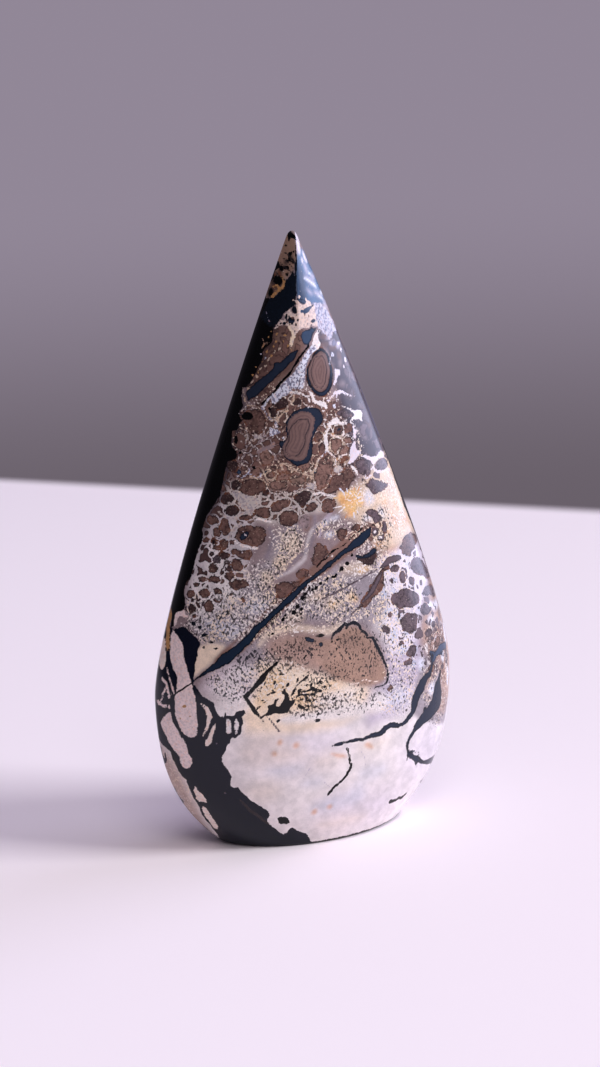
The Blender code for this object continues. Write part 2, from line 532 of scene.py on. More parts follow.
def groundOfFront():
    # foot and belly
    ground.area("cream", 1, 3, -60, -5, 60, -5, 60, 14, 30, 20, 24, 26, 14, 28, 2, 27, -8, 27, -14, 29,
        -20, 30, -60, 28)
    ground.pools("pinkWhite", 0.7, 5, (-6, 20, 9, 4), (6, 6, 9, 4), (22, 14, 8, 6))
    ground.pools("blueSmoke", 0.33, 1.5, (-9, 16.2, 3, 1.2), (1.5, 8.5, 3, 1.5), (5, 9.5, 1.5, 2),
        (-2, 8, 2, 1), (8, 13, 3, 1.5), (-4, 13, 2, 1))
    ground.pools("warmCream", 0.3, 2, (-13, 20, 4, 3), (-12, 24, 4, 2), (-8, 19, 3, 2), (-1, 17, 3, 1.5),
        (8, 18.3, 3, 1), (-13, 12, 3, 2), (2, 4, 5, 1.5))
    ground.area("rose", 0.8, 2, -34, -2, -34, 21, -29, 17, -25, 8, -22, -2)
    ground.pools("orange", 0.6, 0.4, (-10, 21.4, 0.5), (-11, 19.3, 0.4), (-7, 20.5, 0.5),
        (7, 18.2, 1, 0.4, -30), (1, 17.5, 1.5, 0.3, -20), (-0.6, 7.6, 0.5), (-3.4, 6.9, 0.5))
    # band of flecked cream under the dendrites
    ground.area("warmCream", 1, 1.5, -18, 24, -14, 36, -9, 37, -2, 33, 6, 30, 9, 27, 2, 23, -8, 23)
    ground.pools("yellow", 0.55, 1.5, (-10.5, 32.5, 2, 2), (-4.5, 29, 3, 1.5), (-13, 29.5, 1, 1),
        (0, 30, 2, 1.5))
    ground.area("paleLavender", 0.95, 2, 6, 21.5, 11, 22.5, 16, 23, 18, 27, 20, 31, 19, 40, 12, 44, 11, 36,
        11, 30, 7, 28)
    ground.pools("blueWhite", 0.7, 2, (13, 26, 3, 1.5), (12, 42, 2, 3), (16, 45.5, 3, 1.5))
    ground.pools("rose", 0.5, 1, (7.8, 25.5, 1.2, 1.2), (27, 33, 4, 5), (25, 38, 3, 2))
    ground.area("ash", 0.95, 0.6, 17, 22, 19, 20, 23, 19, 27, 17, 30, 17, 31, 36, 20, 32, 17, 26)
    ground.pools("rose", 0.7, 1, (28, 24, 2.4, 5), (21.6, 26, 1, 2), (25.6, 21, 2, 1))
    ground.pools("cream", 0.9, 1, (2, 25.5, 6, 1.5), (9, 26, 2, 2), (-6, 25.5, 4, 1))
    # pink-brown pebble and the browner ground to its left
    ground.area("pinkBrown", 1, 0.8, 0.2, 39, 1.8, 40.4, 3.6, 41.2, 5.9, 40.6, 7, 39.1, 8.9, 37.2, 10.4, 34,
        11.4, 30.2, 9, 29.5, 4, 30, 0, 32, -3, 35, -4, 38.5, -2, 39.5)
    ground.area("ash", 0.85, 1.5, -20.5, 34.5, -14, 40.5, -9, 42, -6, 37, -12, 36, -17, 33)
    ground.area("rose", 0.8, 1.5, -11, 41, -5.8, 41, -1, 39.5, 1, 36, -3, 33.5, -9, 35.6, -12, 38)
    ground.pools("tan", 0.4, 1, (-3.5, 38.6, 3, 1.2), (4, 38, 2.5, 1.6), (8, 34, 2, 3))
    ground.area("pinkGrey", 0.95, 1.5, -24, 31.5, -21, 35, -17, 36.5, -13, 33.5, -15.5, 29.5, -22, 31)
    ground.pools("cream", 0.75, 1.5, (-19, 31.5, 2.5, 1.4), (-17.5, 29, 2.5, 1.6), (-16, 34.5, 2, 1),
        (1, 28.4, 4, 1.6))
    ground.trail("warmCream", 0.6, 0.5, (-12.8, 39.2, 0.3), (-11.8, 40.8, 0.4), (-10.5, 41.2, 0.5),
        (-8, 42, 0.6), (-5.5, 41.8, 0.6), (-2, 40.9, 0.5), (0, 40.4, 0.6), (2, 41.4, 0.5))
    # grey and cream stipple under the long vein, then over it
    ground.area("fog", 0.8, 1.5, 8, 40, 10, 49, 12, 51, 16, 46, 14, 36, 12, 34, 9, 39)
    ground.area("ash", 0.95, 1.5, -4, 43, -10, 43.5, -2, 50, 5, 53, 13, 49, 14, 44, 9, 40, 3, 42)
    ground.pools("sand", 0.8, 1, (0.9, 45.2, 1.5, 1), (-6, 43.6, 1.5, 0.8), (6, 50.8, 3, 1),
        (-2, 46.8, 1.5, 0.8))
    ground.pools("yellow", 0.7, 0.6, (4.8, 46, 0.6), (5.5, 45.3, 0.4), (0.9, 45.2, 0.5),
        (7.5, 50.3, 1, 0.5))
    ground.area("ash", 0.95, 1.5, -25, 41, -24, 48, -17, 50, -10, 49, -9, 46, -14, 42, -20, 38)
    ground.area("warmCream", 0.9, 0.6, -24.9, 37, -23.6, 39.3, -21, 39.9, -18.4, 39.2, -20, 37.9,
        -22.3, 35.7, -24.9, 33.7, -25.2, 35)
    ground.pools("blueWhite", 0.5, 1, (-18, 42, 2, 1.5), (-13, 46, 2, 1), (-21, 43, 1.5, 1))
    ground.area("lavender", 1, 1.5, -11, 49, -11, 56, -9, 59, -6, 60, -3, 60, -4, 54, -7, 50)
    ground.area("ash", 0.9, 1.3, -4, 61, -3, 58, -7, 53.5, -12, 48.5, -15, 49, -10, 55, -6.5, 60)
    ground.pools("sand", 0.8, 1, (-5.6, 56.7, 1.5, 1.8), (-8, 53.5, 1, 1), (-10.5, 51, 1, 1))
    ground.area("lavender", 0.95, 1.5, -4, 57, -3, 62, 3, 62, 5.5, 60.5, 6, 58, 2, 56.5, -2, 56.5)
    ground.area("fog", 0.9, 1, -26, 44, -25, 52, -22, 58, -18, 65, -15, 66.5, -12, 62, -13, 57, -14, 52,
        -15.5, 47.5, -20, 44.5)
    ground.trail("fog", 0.75, 0.3, (-0.6, 59.6, 0.2), (-2, 58.2, 0.35), (-3, 56.2, 0.3), (-3.5, 53.8, 0.35),
        (-5.8, 52, 0.3), (-8.8, 50.8, 0.2))
    ground.trail("greyLavender", 0.7, 0.3, (-1.2, 61, 0.2), (-1.2, 58.4, 0.25), (-2.4, 55.6, 0.2),
        (-4.4, 54.4, 0.3), (-7, 51.8, 0.15))
    ground.trail("paleLavender", 0.7, 0.3, (2.2, 61.4, 0.2), (0.2, 59.4, 0.3), (-0.6, 57.4, 0.2))
    ground.trail("greyLavender", 0.8, 0.4, (-9.4, 59.6, 0.2), (-8.8, 57.6, 0.3), (-10.4, 54.6, 0.2))
    ground.pools("blueWhite", 0.7, 0.5, (1.2, 57.5, 0.9, 0.5), (0.8, 59.7, 0.7, 0.4), (2.6, 60.2, 0.9, 0.4),
        (6.8, 59.9, 1, 0.4))
    ground.pools("lightBrown", 0.8, 0.5, (-3, 60.3, 1.2, 0.6), (-2.7, 59.1, 0.6, 0.6))
    # brown ground under the cells
    ground.area("lightBrown", 1, 1.5, -16, 67, -16, 75, -9, 82, -4, 84, 3, 81.5, 8, 79, 8, 72, 9, 67, 2, 64,
        -4, 64.5, -9, 65.5, -12, 66)
    ground.area("lightBrown", 0.9, 1, -11, 64.8, -12, 67, -7, 70, -5, 69, -3, 66, -6, 64.5)
    ground.area("greyCream", 0.9, 0.8, -13, 61.5, -9, 60, -3, 61.4, 1, 61.6, 3.6, 63, 2, 65, -4, 66, -9, 65,
        -13, 67, -17, 68, -17, 62)
    ground.pools("lavender", 0.8, 0.8, (-10.5, 73.5, 3, 1.6, 20), (-12.5, 71.5, 2, 2),
        (-7.6, 72.4, 1.2, 1.4))
    ground.pools("sand", 0.8, 0.6, (-2, 68.5, 5, 1.4), (-9, 68.6, 3, 1), (4, 74, 3, 2.4), (-6, 79, 2, 1),
        (5, 70, 2, 1))
    ground.area("brown", 1, 1, -7, 93.5, -12, 83.5, -11.5, 81, -8, 81.6, -3, 86.5, 0, 90, -0.5, 94,
        -4, 94.5)
    ground.pools("tan", 0.6, 0.8, (-2.5, 90.8, 1.6, 1.2), (-6, 84.6, 1.5, 0.6, 35), (-4.6, 91.5, 1.2, 1.6),
        (-4.3, 85.4, 1, 0.7))
    ground.pools("umber", 0.7, 0.8, (-9.3, 88, 1.6, 1.6), (-7, 91.6, 0.8, 1.4), (-11.4, 84.2, 0.8, 0.8))
    ground.trail("dusk", 0.9, 1, (-21.6, 58.5, 0.3), (-19.8, 62.4, 0.7), (-17.8, 66, 0.9), (-16.4, 70, 1.2),
        (-14.8, 74, 1.4), (-13.4, 78, 0.8), (-12.6, 82, 0.4))
    ground.pools("cream", 0.75, 0.8, (-19.4, 53.4, 2, 4), (-22.6, 48.2, 2, 3.4), (-18, 49.6, 2, 1.6))
    # the smooth right flank, and the cream field under it
    ground.area("dusk", 1, 1.2, 7, 69.5, 6.5, 76, 5.5, 84, 6, 90.5, 3, 92.5, 9, 92, 16, 80, 28, 66, 18, 66,
        12, 68)
    ground.pools("lavender", 0.6, 0.6, (8, 87, 0.8, 1.4), (7.6, 82.8, 1, 0.5), (12, 78.5, 0.8, 0.4),
        (11, 73.5, 1.6, 0.5, -40), (10.5, 84, 0.4, 1.4))
    ground.pools("brown", 0.7, 0.8, (7.2, 88.8, 1.2, 0.6), (9.5, 80.8, 1.5, 0.5), (13.5, 76, 1, 2.5, 20))
    ground.area("fairSand", 1, 1.2, 6, 64.5, 3, 64.3, 3.5, 61, 7, 59, 10, 55.5, 11, 53, 16, 52.5, 22, 54,
        26, 54, 22, 66, 17, 70, 10, 66)
    ground.area("fairSand", 0.9, 1.5, 12, 54, 12, 60, 16, 64, 21, 62, 23, 56, 19, 54.5)
    ground.area("yellow", 0.85, 0.5, 3.2, 63.4, 4, 64.6, 5.4, 64.2, 7, 65, 8, 64, 9.9, 63.6, 8.8, 62.6,
        9.6, 61.8, 7.6, 61.6, 7, 60.4, 6, 59.6, 5.4, 61, 4.4, 61.2, 4.2, 62.4)
    ground.pools("orange", 0.55, 0.7, (4.6, 63, 0.9, 0.8), (6.3, 62.7, 0.6), (9, 62.2, 0.5),
        (5.7, 60.6, 0.6))
    ground.pools("orange", 0.5, 1, (14.5, 52.3, 2, 0.5, 10), (20.5, 56.5, 1.5, 0.8), (18, 60, 0.8, 1.5, 20),
        (13.6, 56.6, 0.6, 1.4, 30), (14.4, 61, 0.6, 1, -20), (11.4, 54.2, 1.2, 0.5, 10),
        (16.4, 57.6, 0.5, 1.6, 30))
    ground.pools("blueWhite", 0.7, 1, (10.4, 62.6, 1.4, 1.4), (9.6, 59, 1, 0.8), (13, 59.4, 0.8, 1))
    ground.area("pinkWhite", 0.85, 1, 10, 50.5, 14, 52.5, 24, 52.2, 26, 50, 26, 46, 21, 41, 20, 36, 13, 33,
        11, 38, 13, 44)
    ground.pools("blueSmoke", 0.75, 0.4, (14.6, 47.4, 0.9, 0.5), (13.2, 49.6, 0.9, 0.4), (13.8, 45, 0.6, 1),
        (12.4, 42, 0.9, 0.8), (14.6, 40.6, 0.7, 0.9), (13.2, 37.6, 0.8, 1.2), (16.4, 37.4, 0.9, 0.4),
        (18.4, 49.4, 0.5, 0.4), (19.6, 45.6, 0.4, 0.6), (15, 34.6, 1, 0.8), (18, 34, 0.8, 0.6),
        (20.4, 40.8, 0.5, 0.5), (11.6, 45.4, 0.7, 1), (17.6, 31.4, 0.8, 0.7))
    ground.area("rose", 0.85, 1.5, 21, 39, 27, 45, 34, 46, 34, 20, 28, 22, 26, 30, 20, 34)
    ground.pools("slateBrown", 0.8, 0.4, (25, 36, 1.5, 0.9, 30), (27.5, 33, 0.9, 1.6), (24, 29.6, 0.9, 1),
        (22.6, 34.6, 0.7, 1), (28.6, 38.5, 0.9, 1.4), (29, 30, 0.8, 2))
    ground.pools("blueWhite", 0.95, 0.3, (25.5, 34, 1.1, 0.6), (23.4, 31.5, 0.6, 1), (27, 30.5, 0.7, 1.2),
        (25, 27, 0.5, 1.4), (28, 36, 1, 0.7), (30, 34, 0.8, 2), (24.4, 40.6, 1, 0.6), (29.6, 26, 0.7, 2))
    ground.pools("cream", 0.95, 0.25, (26.4, 37.4, 0.8, 0.4), (22, 30.6, 0.4, 0.7), (26, 32, 0.4, 0.5),
        (24, 37, 0.5, 0.8), (28.6, 28, 0.3, 0.9), (21.4, 33.4, 0.4, 0.8))
    ground.pools("lightBrown", 0.8, 0.8, (24, 32, 2.4, 1.6), (22, 28.5, 1.6, 1.2), (27, 35, 2, 2.5),
        (26, 28, 1.6, 2))
    ground.pools("blueWhite", 0.8, 0.7, (22.5, 25.5, 1.2, 1.2), (24, 38, 1.4, 0.8), (19.6, 31, 0.8, 1.2),
        (27, 40, 2, 0.8))
    # halo of the long vein
    ground.trail("lightBrown", 1, 0.3, (10.8, 57.6, 0.5), (9.3, 57, 1.5), (7, 56, 1.7), (4, 54.7, 1.5),
        (0, 52.4, 1.4), (-4, 49.7, 1.2), (-8, 46.6, 1.2), (-12, 43.2, 1.1), (-16, 39.6, 1.2),
        (-20, 36.6, 0.9))
    ground.trail("ash", 0.8, 0.3, (-9, 45.8, 0.5), (-13, 42.6, 0.6), (-17, 39.2, 0.5))
    # under the tip
    ground.area("dusk", 1, 0.5, 3.4, 93, 9.6, 93, 11, 88, 6, 86, 4.6, 90, 2, 90, 3.4, 91.4)
    ground.pools("paleLavender", 0.8, 0.4, (5.8, 91.2, 1, 0.35), (6.8, 90.1, 1, 0.4), (5, 92.2, 0.8, 0.3),
        (8.6, 89.4, 0.8, 0.6))
    ground.pools("brown", 0.8, 0.4, (4.6, 91.4, 1, 0.4), (6.6, 89.2, 1.2, 0.4), (8.2, 87.6, 0.8, 0.8),
        (4.4, 90, 1.2, 0.6))
    ground.area("beige", 1, 0.6, -0.4, 104, 0.2, 110, -3, 110, -9, 99, -5.5, 98.6, -2.4, 102.2)
    ground.pools("umber", 0.9, 0.5, (-4.6, 101.6, 1.4, 1.5), (-6, 99.5, 1, 1.2), (-3.7, 103.6, 0.5, 0.8),
        (-2.4, 104.6, 0.4, 0.4), (-1.2, 105.4, 0.3, 0.6))
    ground.pools("rust", 0.8, 0.3, (-3.8, 102.6, 0.3, 0.8, 20), (-5.2, 100.6, 0.4, 0.3),
        (-5, 102.4, 0.4, 0.5))
    ground.area("facetBlue", 1, 0.3, -1.1, 97.8, -0.9, 102, -0.3, 105.4, 1, 107, 3.4, 106.4, 6.4, 100,
        9, 96.4, 1.6, 97.4)
    ground.area("slate", 1, 0.8, -1.1, 98.2, -0.7, 103.6, 0, 105, 1, 103, 1.3, 100.4, 1.2, 98)
    ground.pools("paleLavender", 0.6, 0.6, (3, 101.2, 1.9, 0.5, -28), (2.2, 103.4, 0.5, 1, 20),
        (5, 98.6, 1.5, 0.5, -25), (7.4, 96.8, 1.2, 0.8, -30), (2.3, 99.4, 0.9, 0.3, -30),
        (4.4, 101.8, 0.8, 0.5))
    ground.pools("blueWhite", 0.9, 0.25, (2.2, 101.4, 1.1, 0.2, -20), (4, 100.4, 1, 0.22, -32),
        (5.6, 98, 0.9, 0.16, -25), (3.3, 102.4, 0.5, 0.15, -30), (6.4, 98.8, 0.5, 0.4))
    ground.pools("pinkWhite", 0.9, 0.4, (0.8, 106.9, 0.5, 0.9), (2.6, 105.4, 0.4, 1.1, 25),
        (1, 108.6, 0.8, 1.3), (1.4, 104.9, 0.3, 0.5))

    # where fine pale threads and dark flecks run through the ground
    for strength, spots in (
        (0.0, ((0, 8, 34, 17), (-21, 37, 3, 2.5), (-7, 52, 3.5, 4), (0, 59.5, 3, 2.5), (12, 80, 5, 12))),
        (0.8, ((-13, 74, 3, 5), (-3, 76, 10, 9), (-6, 67, 10, 3), (6, 72, 5, 6))),
        (0.95, ((-15, 45, 11, 5), (-22, 42, 5, 2.5), (-9, 52, 5, 1.8, 45), (-6, 57, 3.4, 3.4),
            (0, 47, 6, 4), (8, 51, 5, 2), (-15, 49.5, 3, 3))),
        (0.8, ((-13, 64.6, 2.5, 1.5), (15, 44, 5, 8), (9, 63, 4, 3), (17, 60, 5, 6))),
        (0.85, ((-10, 33, 6, 5), (-18, 33, 4, 2), (0, 29, 6, 2.5), (14.4, 32, 4, 9), (14, 25, 5, 2.6))),
        (0.7, ((25, 28, 6, 11), (-29, 12, 4, 10))),
        (0.9, ((12.5, 43, 4, 6), (12, 50.5, 4, 2.6), (9, 54.5, 4, 1.4), (2, 58.6, 4, 2), (-12, 51, 3, 3),
            (4, 43, 5, 2), (10, 56.5, 5, 3))),
        (0.2, ((-22, 37.6, 2.5, 1.6),)), (0.1, ((5.5, 35.5, 5, 4.6), (-5, 38, 4, 2))),
        (0.9, ((-9, 41.4, 4, 1), (-1, 41, 3, 0.8))),
    ):
        worms.pools(strength, 1, 1.2, *spots)
    for strength, spots in (
        (0.0, ((0, 8, 34, 16), (-21, 37, 3, 2.5), (10, 80, 6, 12), (0, 94, 8, 4), (-7, 52, 3, 3),
            (0, 59, 3, 2))),
        (0.8, ((5, 35.5, 6, 5.4),)), (0.9, ((-6, 37.5, 5, 2.6),)),
        (0.7, ((12.5, 43, 4, 6), (12, 50.5, 4, 2.6), (9, 54.5, 4, 1.4), (2, 58.6, 4, 2), (-12, 51, 3, 3),
            (4, 43, 5, 2), (-13, 74, 3, 5), (-4, 67, 8, 2))),
        (0.3, ((7, 62, 4, 2.6), (18, 60, 5, 6), (20, 54, 5, 2))),
        (0.8, ((5, 27.4, 6, 2.6), (-18, 32, 3, 3))),
        (0.95, ((-4, 28, 6, 3), (-12, 34, 3, 2.6), (-2, 32.6, 4, 2))),
        (0.95, ((-12, 36, 6, 3), (-19, 33, 4, 2), (14.4, 33, 4, 9))),
        (0.85, ((0, 46, 7, 4), (-15, 44.6, 11, 5), (-22, 42, 5, 2.5))), (0.1, ((-22, 37.8, 2.4, 1.4),)),
        (0.7, ((14, 25, 5, 2.6), (25, 28, 6, 11), (14, 34, 3, 9))), (0.9, ((-17, 32.5, 5, 3.4),)),
        (0.9, ((-9, 52.5, 5, 1.6, 45), (-5.6, 57, 2.6, 3), (9, 59, 1.5, 2), (13, 57, 3, 4))),
    ):
        flecks.pools(strength, 1, 1.2, *spots)

    # where cells crowd together
    packed.area(1, 1, 0.8, -18.5, 62, -17.5, 76, -14, 80, -9, 82, -4, 83.5, 3, 81.5, 9, 79, 9, 72, 9, 67,
        3, 63.6, 3.4, 61.4, -1, 61.6, -4, 60, -9, 60, -13, 61)
    packed.area(1, 0.9, 0.8, -29, 44, -27, 52, -24, 58, -19, 66, -15, 66.5, -12, 62, -13, 57, -13.5, 52,
        -15.5, 48, -20, 46)
    packed.area(1, 0.85, 1, 8, 65.5, 8, 84, 10, 90, 14, 90, 19, 72, 19, 67, 12, 64)
    packed.area(1, 0.9, 0.8, -1.4, 95, -9, 95.5, -14, 84, -10, 81, -6, 84.5, -1.6, 89.5, 0.6, 92.6)
    packed.area(1, 0.8, 1, 13, 46, 18, 52, 32, 52, 32, 28, 20, 28, 18, 31, 14.5, 34)
    packed.area(1, 0.7, 0.6, 9, 54, 7.5, 57, 10, 61, 14, 59, 14.5, 55.5)
    packedMineral.area("slateBrown", 1, 1.5, 8, 62, 5, 84, 10, 92, 22, 80, 24, 66, 14, 62)
    packedMineral.area("slateBrown", 1, 1.5, 11, 28, 11, 52, 34, 56, 34, 26)
    packedMineral.area("deepBrown", 0.8, 1.5, -30, 44, -26, 58, -19, 66, -16, 66, -18, 52, -22, 44)
    packedMineral.area("deepBrown", 0.7, 1.5, -9, 95.5, -14, 84, -12, 82, -8, 88, -5, 94)


groundOfFront()
print("ground washed")


def footOfFront():
    # the great black vein that climbs the left of the foot
    darks.patch("softBlack", -24.5, 32.3, -24, 31.3, -23.6, 30.4, -22.9, 30.2, -22.3, 29.8, -21.4, 29.3,
        -21.3, 28.4, -21, 27.5, -20.4, 26.8, -19.9, 26.6, -19.8, 27.5, -19.4, 27.6, -19.2, 27, -18.4, 26.8,
        -17.8, 26.9, -17.6, 27.6, -16.8, 27.7, -16.2, 28, -15.8, 27.2, -16.4, 26.6, -16.3, 25.8, -16.7, 25,
        -16.7, 24, -17, 23.2, -17.5, 23.1, -17.7, 22.6, -18.6, 22.6, -18.7, 22.1, -19, 21.5, -19.5, 21.3,
        -19.6, 20.4, -19.8, 19.4, -20.2, 18.5, -19.9, 17.6, -19.4, 16.7, -19, 15.8, -18.6, 15.2,
        -18.9, 14.4, -18.8, 13.5, -18.2, 13.2, -17.4, 13.3, -16.9, 12.6, -16.4, 12, -15.8, 11.3,
        -15.2, 10.6, -14.3, 10, -13.3, 9.2, -12.5, 8.6, -11.8, 8, -11.4, 7.3, -12, 6.5, -11.8, 5.6, -11, 5,
        -10.2, 4.2, -9.4, 3.4, -8.8, 3, -8.2, 3.2, -7.6, 4, -7.1, 4.2, -6.3, 3.6, -5.3, 2.9, -4.4, 2.3,
        -3.9, 1.6, -3.5, 0.9, -1, -2, -21, -2, -21.3, 0, -21.4, 2, -21.6, 2.8, -22.2, 3.5, -23.2, 4.8,
        -24, 6.2, -24.6, 7.4, -25, 8.6, -25.6, 9.8, -26.2, 11, -26.6, 12, -27, 13, -27.4, 14.3, -28.2, 14.8,
        -28.9, 15.8, -29.4, 16.8, -29.6, 18, -29.9, 19.2, -30.6, 20.3, -31.4, 21, -32, 21.5, -34, 23,
        -35, 30, -33, 40, -29.6, 38, -29, 33, -27.7, 32.4, -26, 32.8, smooth=False)
    darks.patch("softBlack", -34, 21, -36, 30, -35, 43, -31, 43, -29, 41.6, -28.2, 41.7, -26.4, 42.4,
        -25.6, 42, -24.8, 41.2, -23.8, 40.6, -23.2, 39.8, -24, 38.6, -23.9, 37.4, -24.5, 36, -24.6, 34.6,
        -25, 33, -25.2, 31, -24.4, 26, -25, 22, -30, 19, smooth=False)
    darks.spots("navy", (-22.4, 41.2, 0.7, 0.3, 10), (-21.4, 39.9, 0.5, 0.2, -20), (-22.6, 39, 0.4, 0.25),
        (-20.6, 38.9, 0.6, 0.15, -10), (-23.2, 42.4, 0.5, 0.3, 40), (-24.4, 43, 0.6, 0.4, -30))
    lights.patch("lens", -28.9, 41.6, -28.2, 41, -27.4, 40.2, -26.8, 39.4, -26.6, 38.5, -26.8, 37.3,
        -26.5, 36.2, -26.1, 35, -25.7, 34, -25.3, 32.9, -25.2, 31.8, -24.9, 30.5, -24.8, 29, -24.8, 28,
        -24.7, 26.5, -24.4, 25, -24.6, 24, -24.9, 23, -25.6, 22.6, -26.2, 22.5, -27, 22.9, -27.7, 23.6,
        -28.3, 24.7, -28.7, 26, -29, 27, -29, 29, -28.2, 32, -28.2, 33.6, -29.1, 35, -29.5, 36.3,
        -29.7, 37.5, -29.6, 39, -29.4, 40.8)
    lights.patch("lens", -28.6, 44.3, -27.8, 44.8, -26.8, 45, -26.2, 45.4, -26, 44.5, -25.3, 44.3,
        -26, 43.8, -27, 44.1, -27.8, 43.7, -28, 42.6, -28.2, 41.9, -28.6, 42.4, -28.7, 43.5)
    lights.patch("lens", -32.5, 24.8, -31.4, 26, -30.4, 27, -29.9, 27, -29.6, 26, -29.4, 25, -28.6, 24,
        -28.1, 22.8, -27.2, 22, -26.9, 21, -26.7, 19.8, -26.1, 18.8, -25.9, 17.8, -26.1, 17, -26.8, 16.5,
        -27.6, 16.5, -28.2, 17.2, -28.4, 18, -28.3, 18.6, -29, 19.2, -29.7, 20, -30.4, 20.8, -31.1, 22,
        -31.8, 23, -32.4, 23.8)
    lights.patch("lensPale", -31.8, 34.2, -31, 34.8, -30.6, 36, -30.8, 38, -31.2, 40, -33, 39, -33, 35)
    lights.vein("lens", -30.4, 34.8, -30, 33, -29.3, 31.8, -29, 30.5, half=0.2)
    lights.vein("lens", -31.6, 32.8, -30.6, 32, -30.2, 31, -30.1, 29.5, half=0.3)
    lights.vein("lens", -31.8, 29.8, -31, 31, -30.4, 31.6, half=0.2)
    lights.vein("lens", -33, 28.5, -31.5, 27.9, -30.3, 28, half=0.35)
    lights.vein("lens", -31, 30.9, -32, 29, -32.8, 28, half=0.2)
    lights.patch("goldBeige", -29.6, 38, -29.9, 41, -29.3, 44.6, -30.2, 45, -31, 42, -30.8, 38)
    # pale fingers and splinters inside it
    lights.patch("lensPale", -25.6, 12.9, -25.3, 13.4, -25.1, 12.4, -24.2, 11.4, -23.4, 10.4, -23.3, 9.6,
        -24, 9.8, -24.8, 9.6, -25.3, 10.3, -25.5, 11.2, -25.9, 12)
    lights.patch("lensPale", -24.4, 8.4, -24.1, 8.9, -23.5, 8.9, -23, 8, -22.4, 6.8, -21.7, 5.6, -21, 4.6,
        -21, 3.9, -21.5, 3.4, -22.2, 4, -22.9, 5, -23.6, 6.4, -24.2, 7.6)
    lights.vein("lensPale", (-24, 29.2, 0.1), (-23.2, 28.6, 0.3), (-22.6, 27.8, 0.4), (-22.4, 26.5, 0.45),
        (-22.7, 25.3, 0.35), (-23.1, 24.2, 0.25), (-23.7, 23, 0.1))
    lights.vein("lensPale", (-21.1, 25.3, 0.1), (-21.6, 24.6, 0.3), (-21.9, 23.7, 0.35),
        (-22.4, 22.7, 0.45), (-22.8, 21.9, 0.55), (-23, 21.4, 0.4))
    lights.patch("cream", -19.5, 26.5, -18.7, 26.3, -18.4, 25, -18.4, 24, -19, 23.5, -19.6, 24, -19.3, 25,
        smooth=False)
    lights.patch("cream", -17.9, 26.3, -17.3, 26.2, -17.2, 25, -17.4, 23.6, -17.9, 23.4, -18, 24.6,
        smooth=False)
    fines.vein("black", -19.3, 25.9, -17.2, 25.7, half=0.1)
    fines.spots("goldBeige", (-27, 28.4, 0.5, 0.35, 20), (-26, 26.6, 0.3, 0.2), (-28, 26, 0.25),
        (-25.6, 24.6, 0.3, 0.2), (-30.2, 24.2, 0.3, 0.2))
    lights.spots("cream", (-19.6, 28.3, 0.4, 0.5), (-18.2, 28, 0.35, 0.5), (-16.9, 28.6, 0.4, 0.4))
    lights.spots("slateBrown", (-21.3, 21.7, 0.3, 0.2), (-19.8, 12, 0.2, 0.15))
    darks.patch("black", -10.3, 6.6, -9.5, 6.8, -8.6, 6.7, -8, 6, -7.6, 5.2, -8.6, 5.1, -9.6, 5.2, -10, 5.9)
    darks.vein("black", (-31.8, 22, 0.2), (-30.4, 20.6, 0.5), (-29.4, 17.6, 0.6), (-28.4, 15.6, 0.4))
    fines.spots("umber", (-31.8, 18, 0.3, 1), (-33, 12, 0.3, 0.8))
    # painted shade: a dark umber line along the bottom arris of the front, standing in for the contact shadow
    # where the stone meets the table
    darks.vein("umber", -22.5, 0.3, 0, 0.2, 22, 0.3, half=0.35)


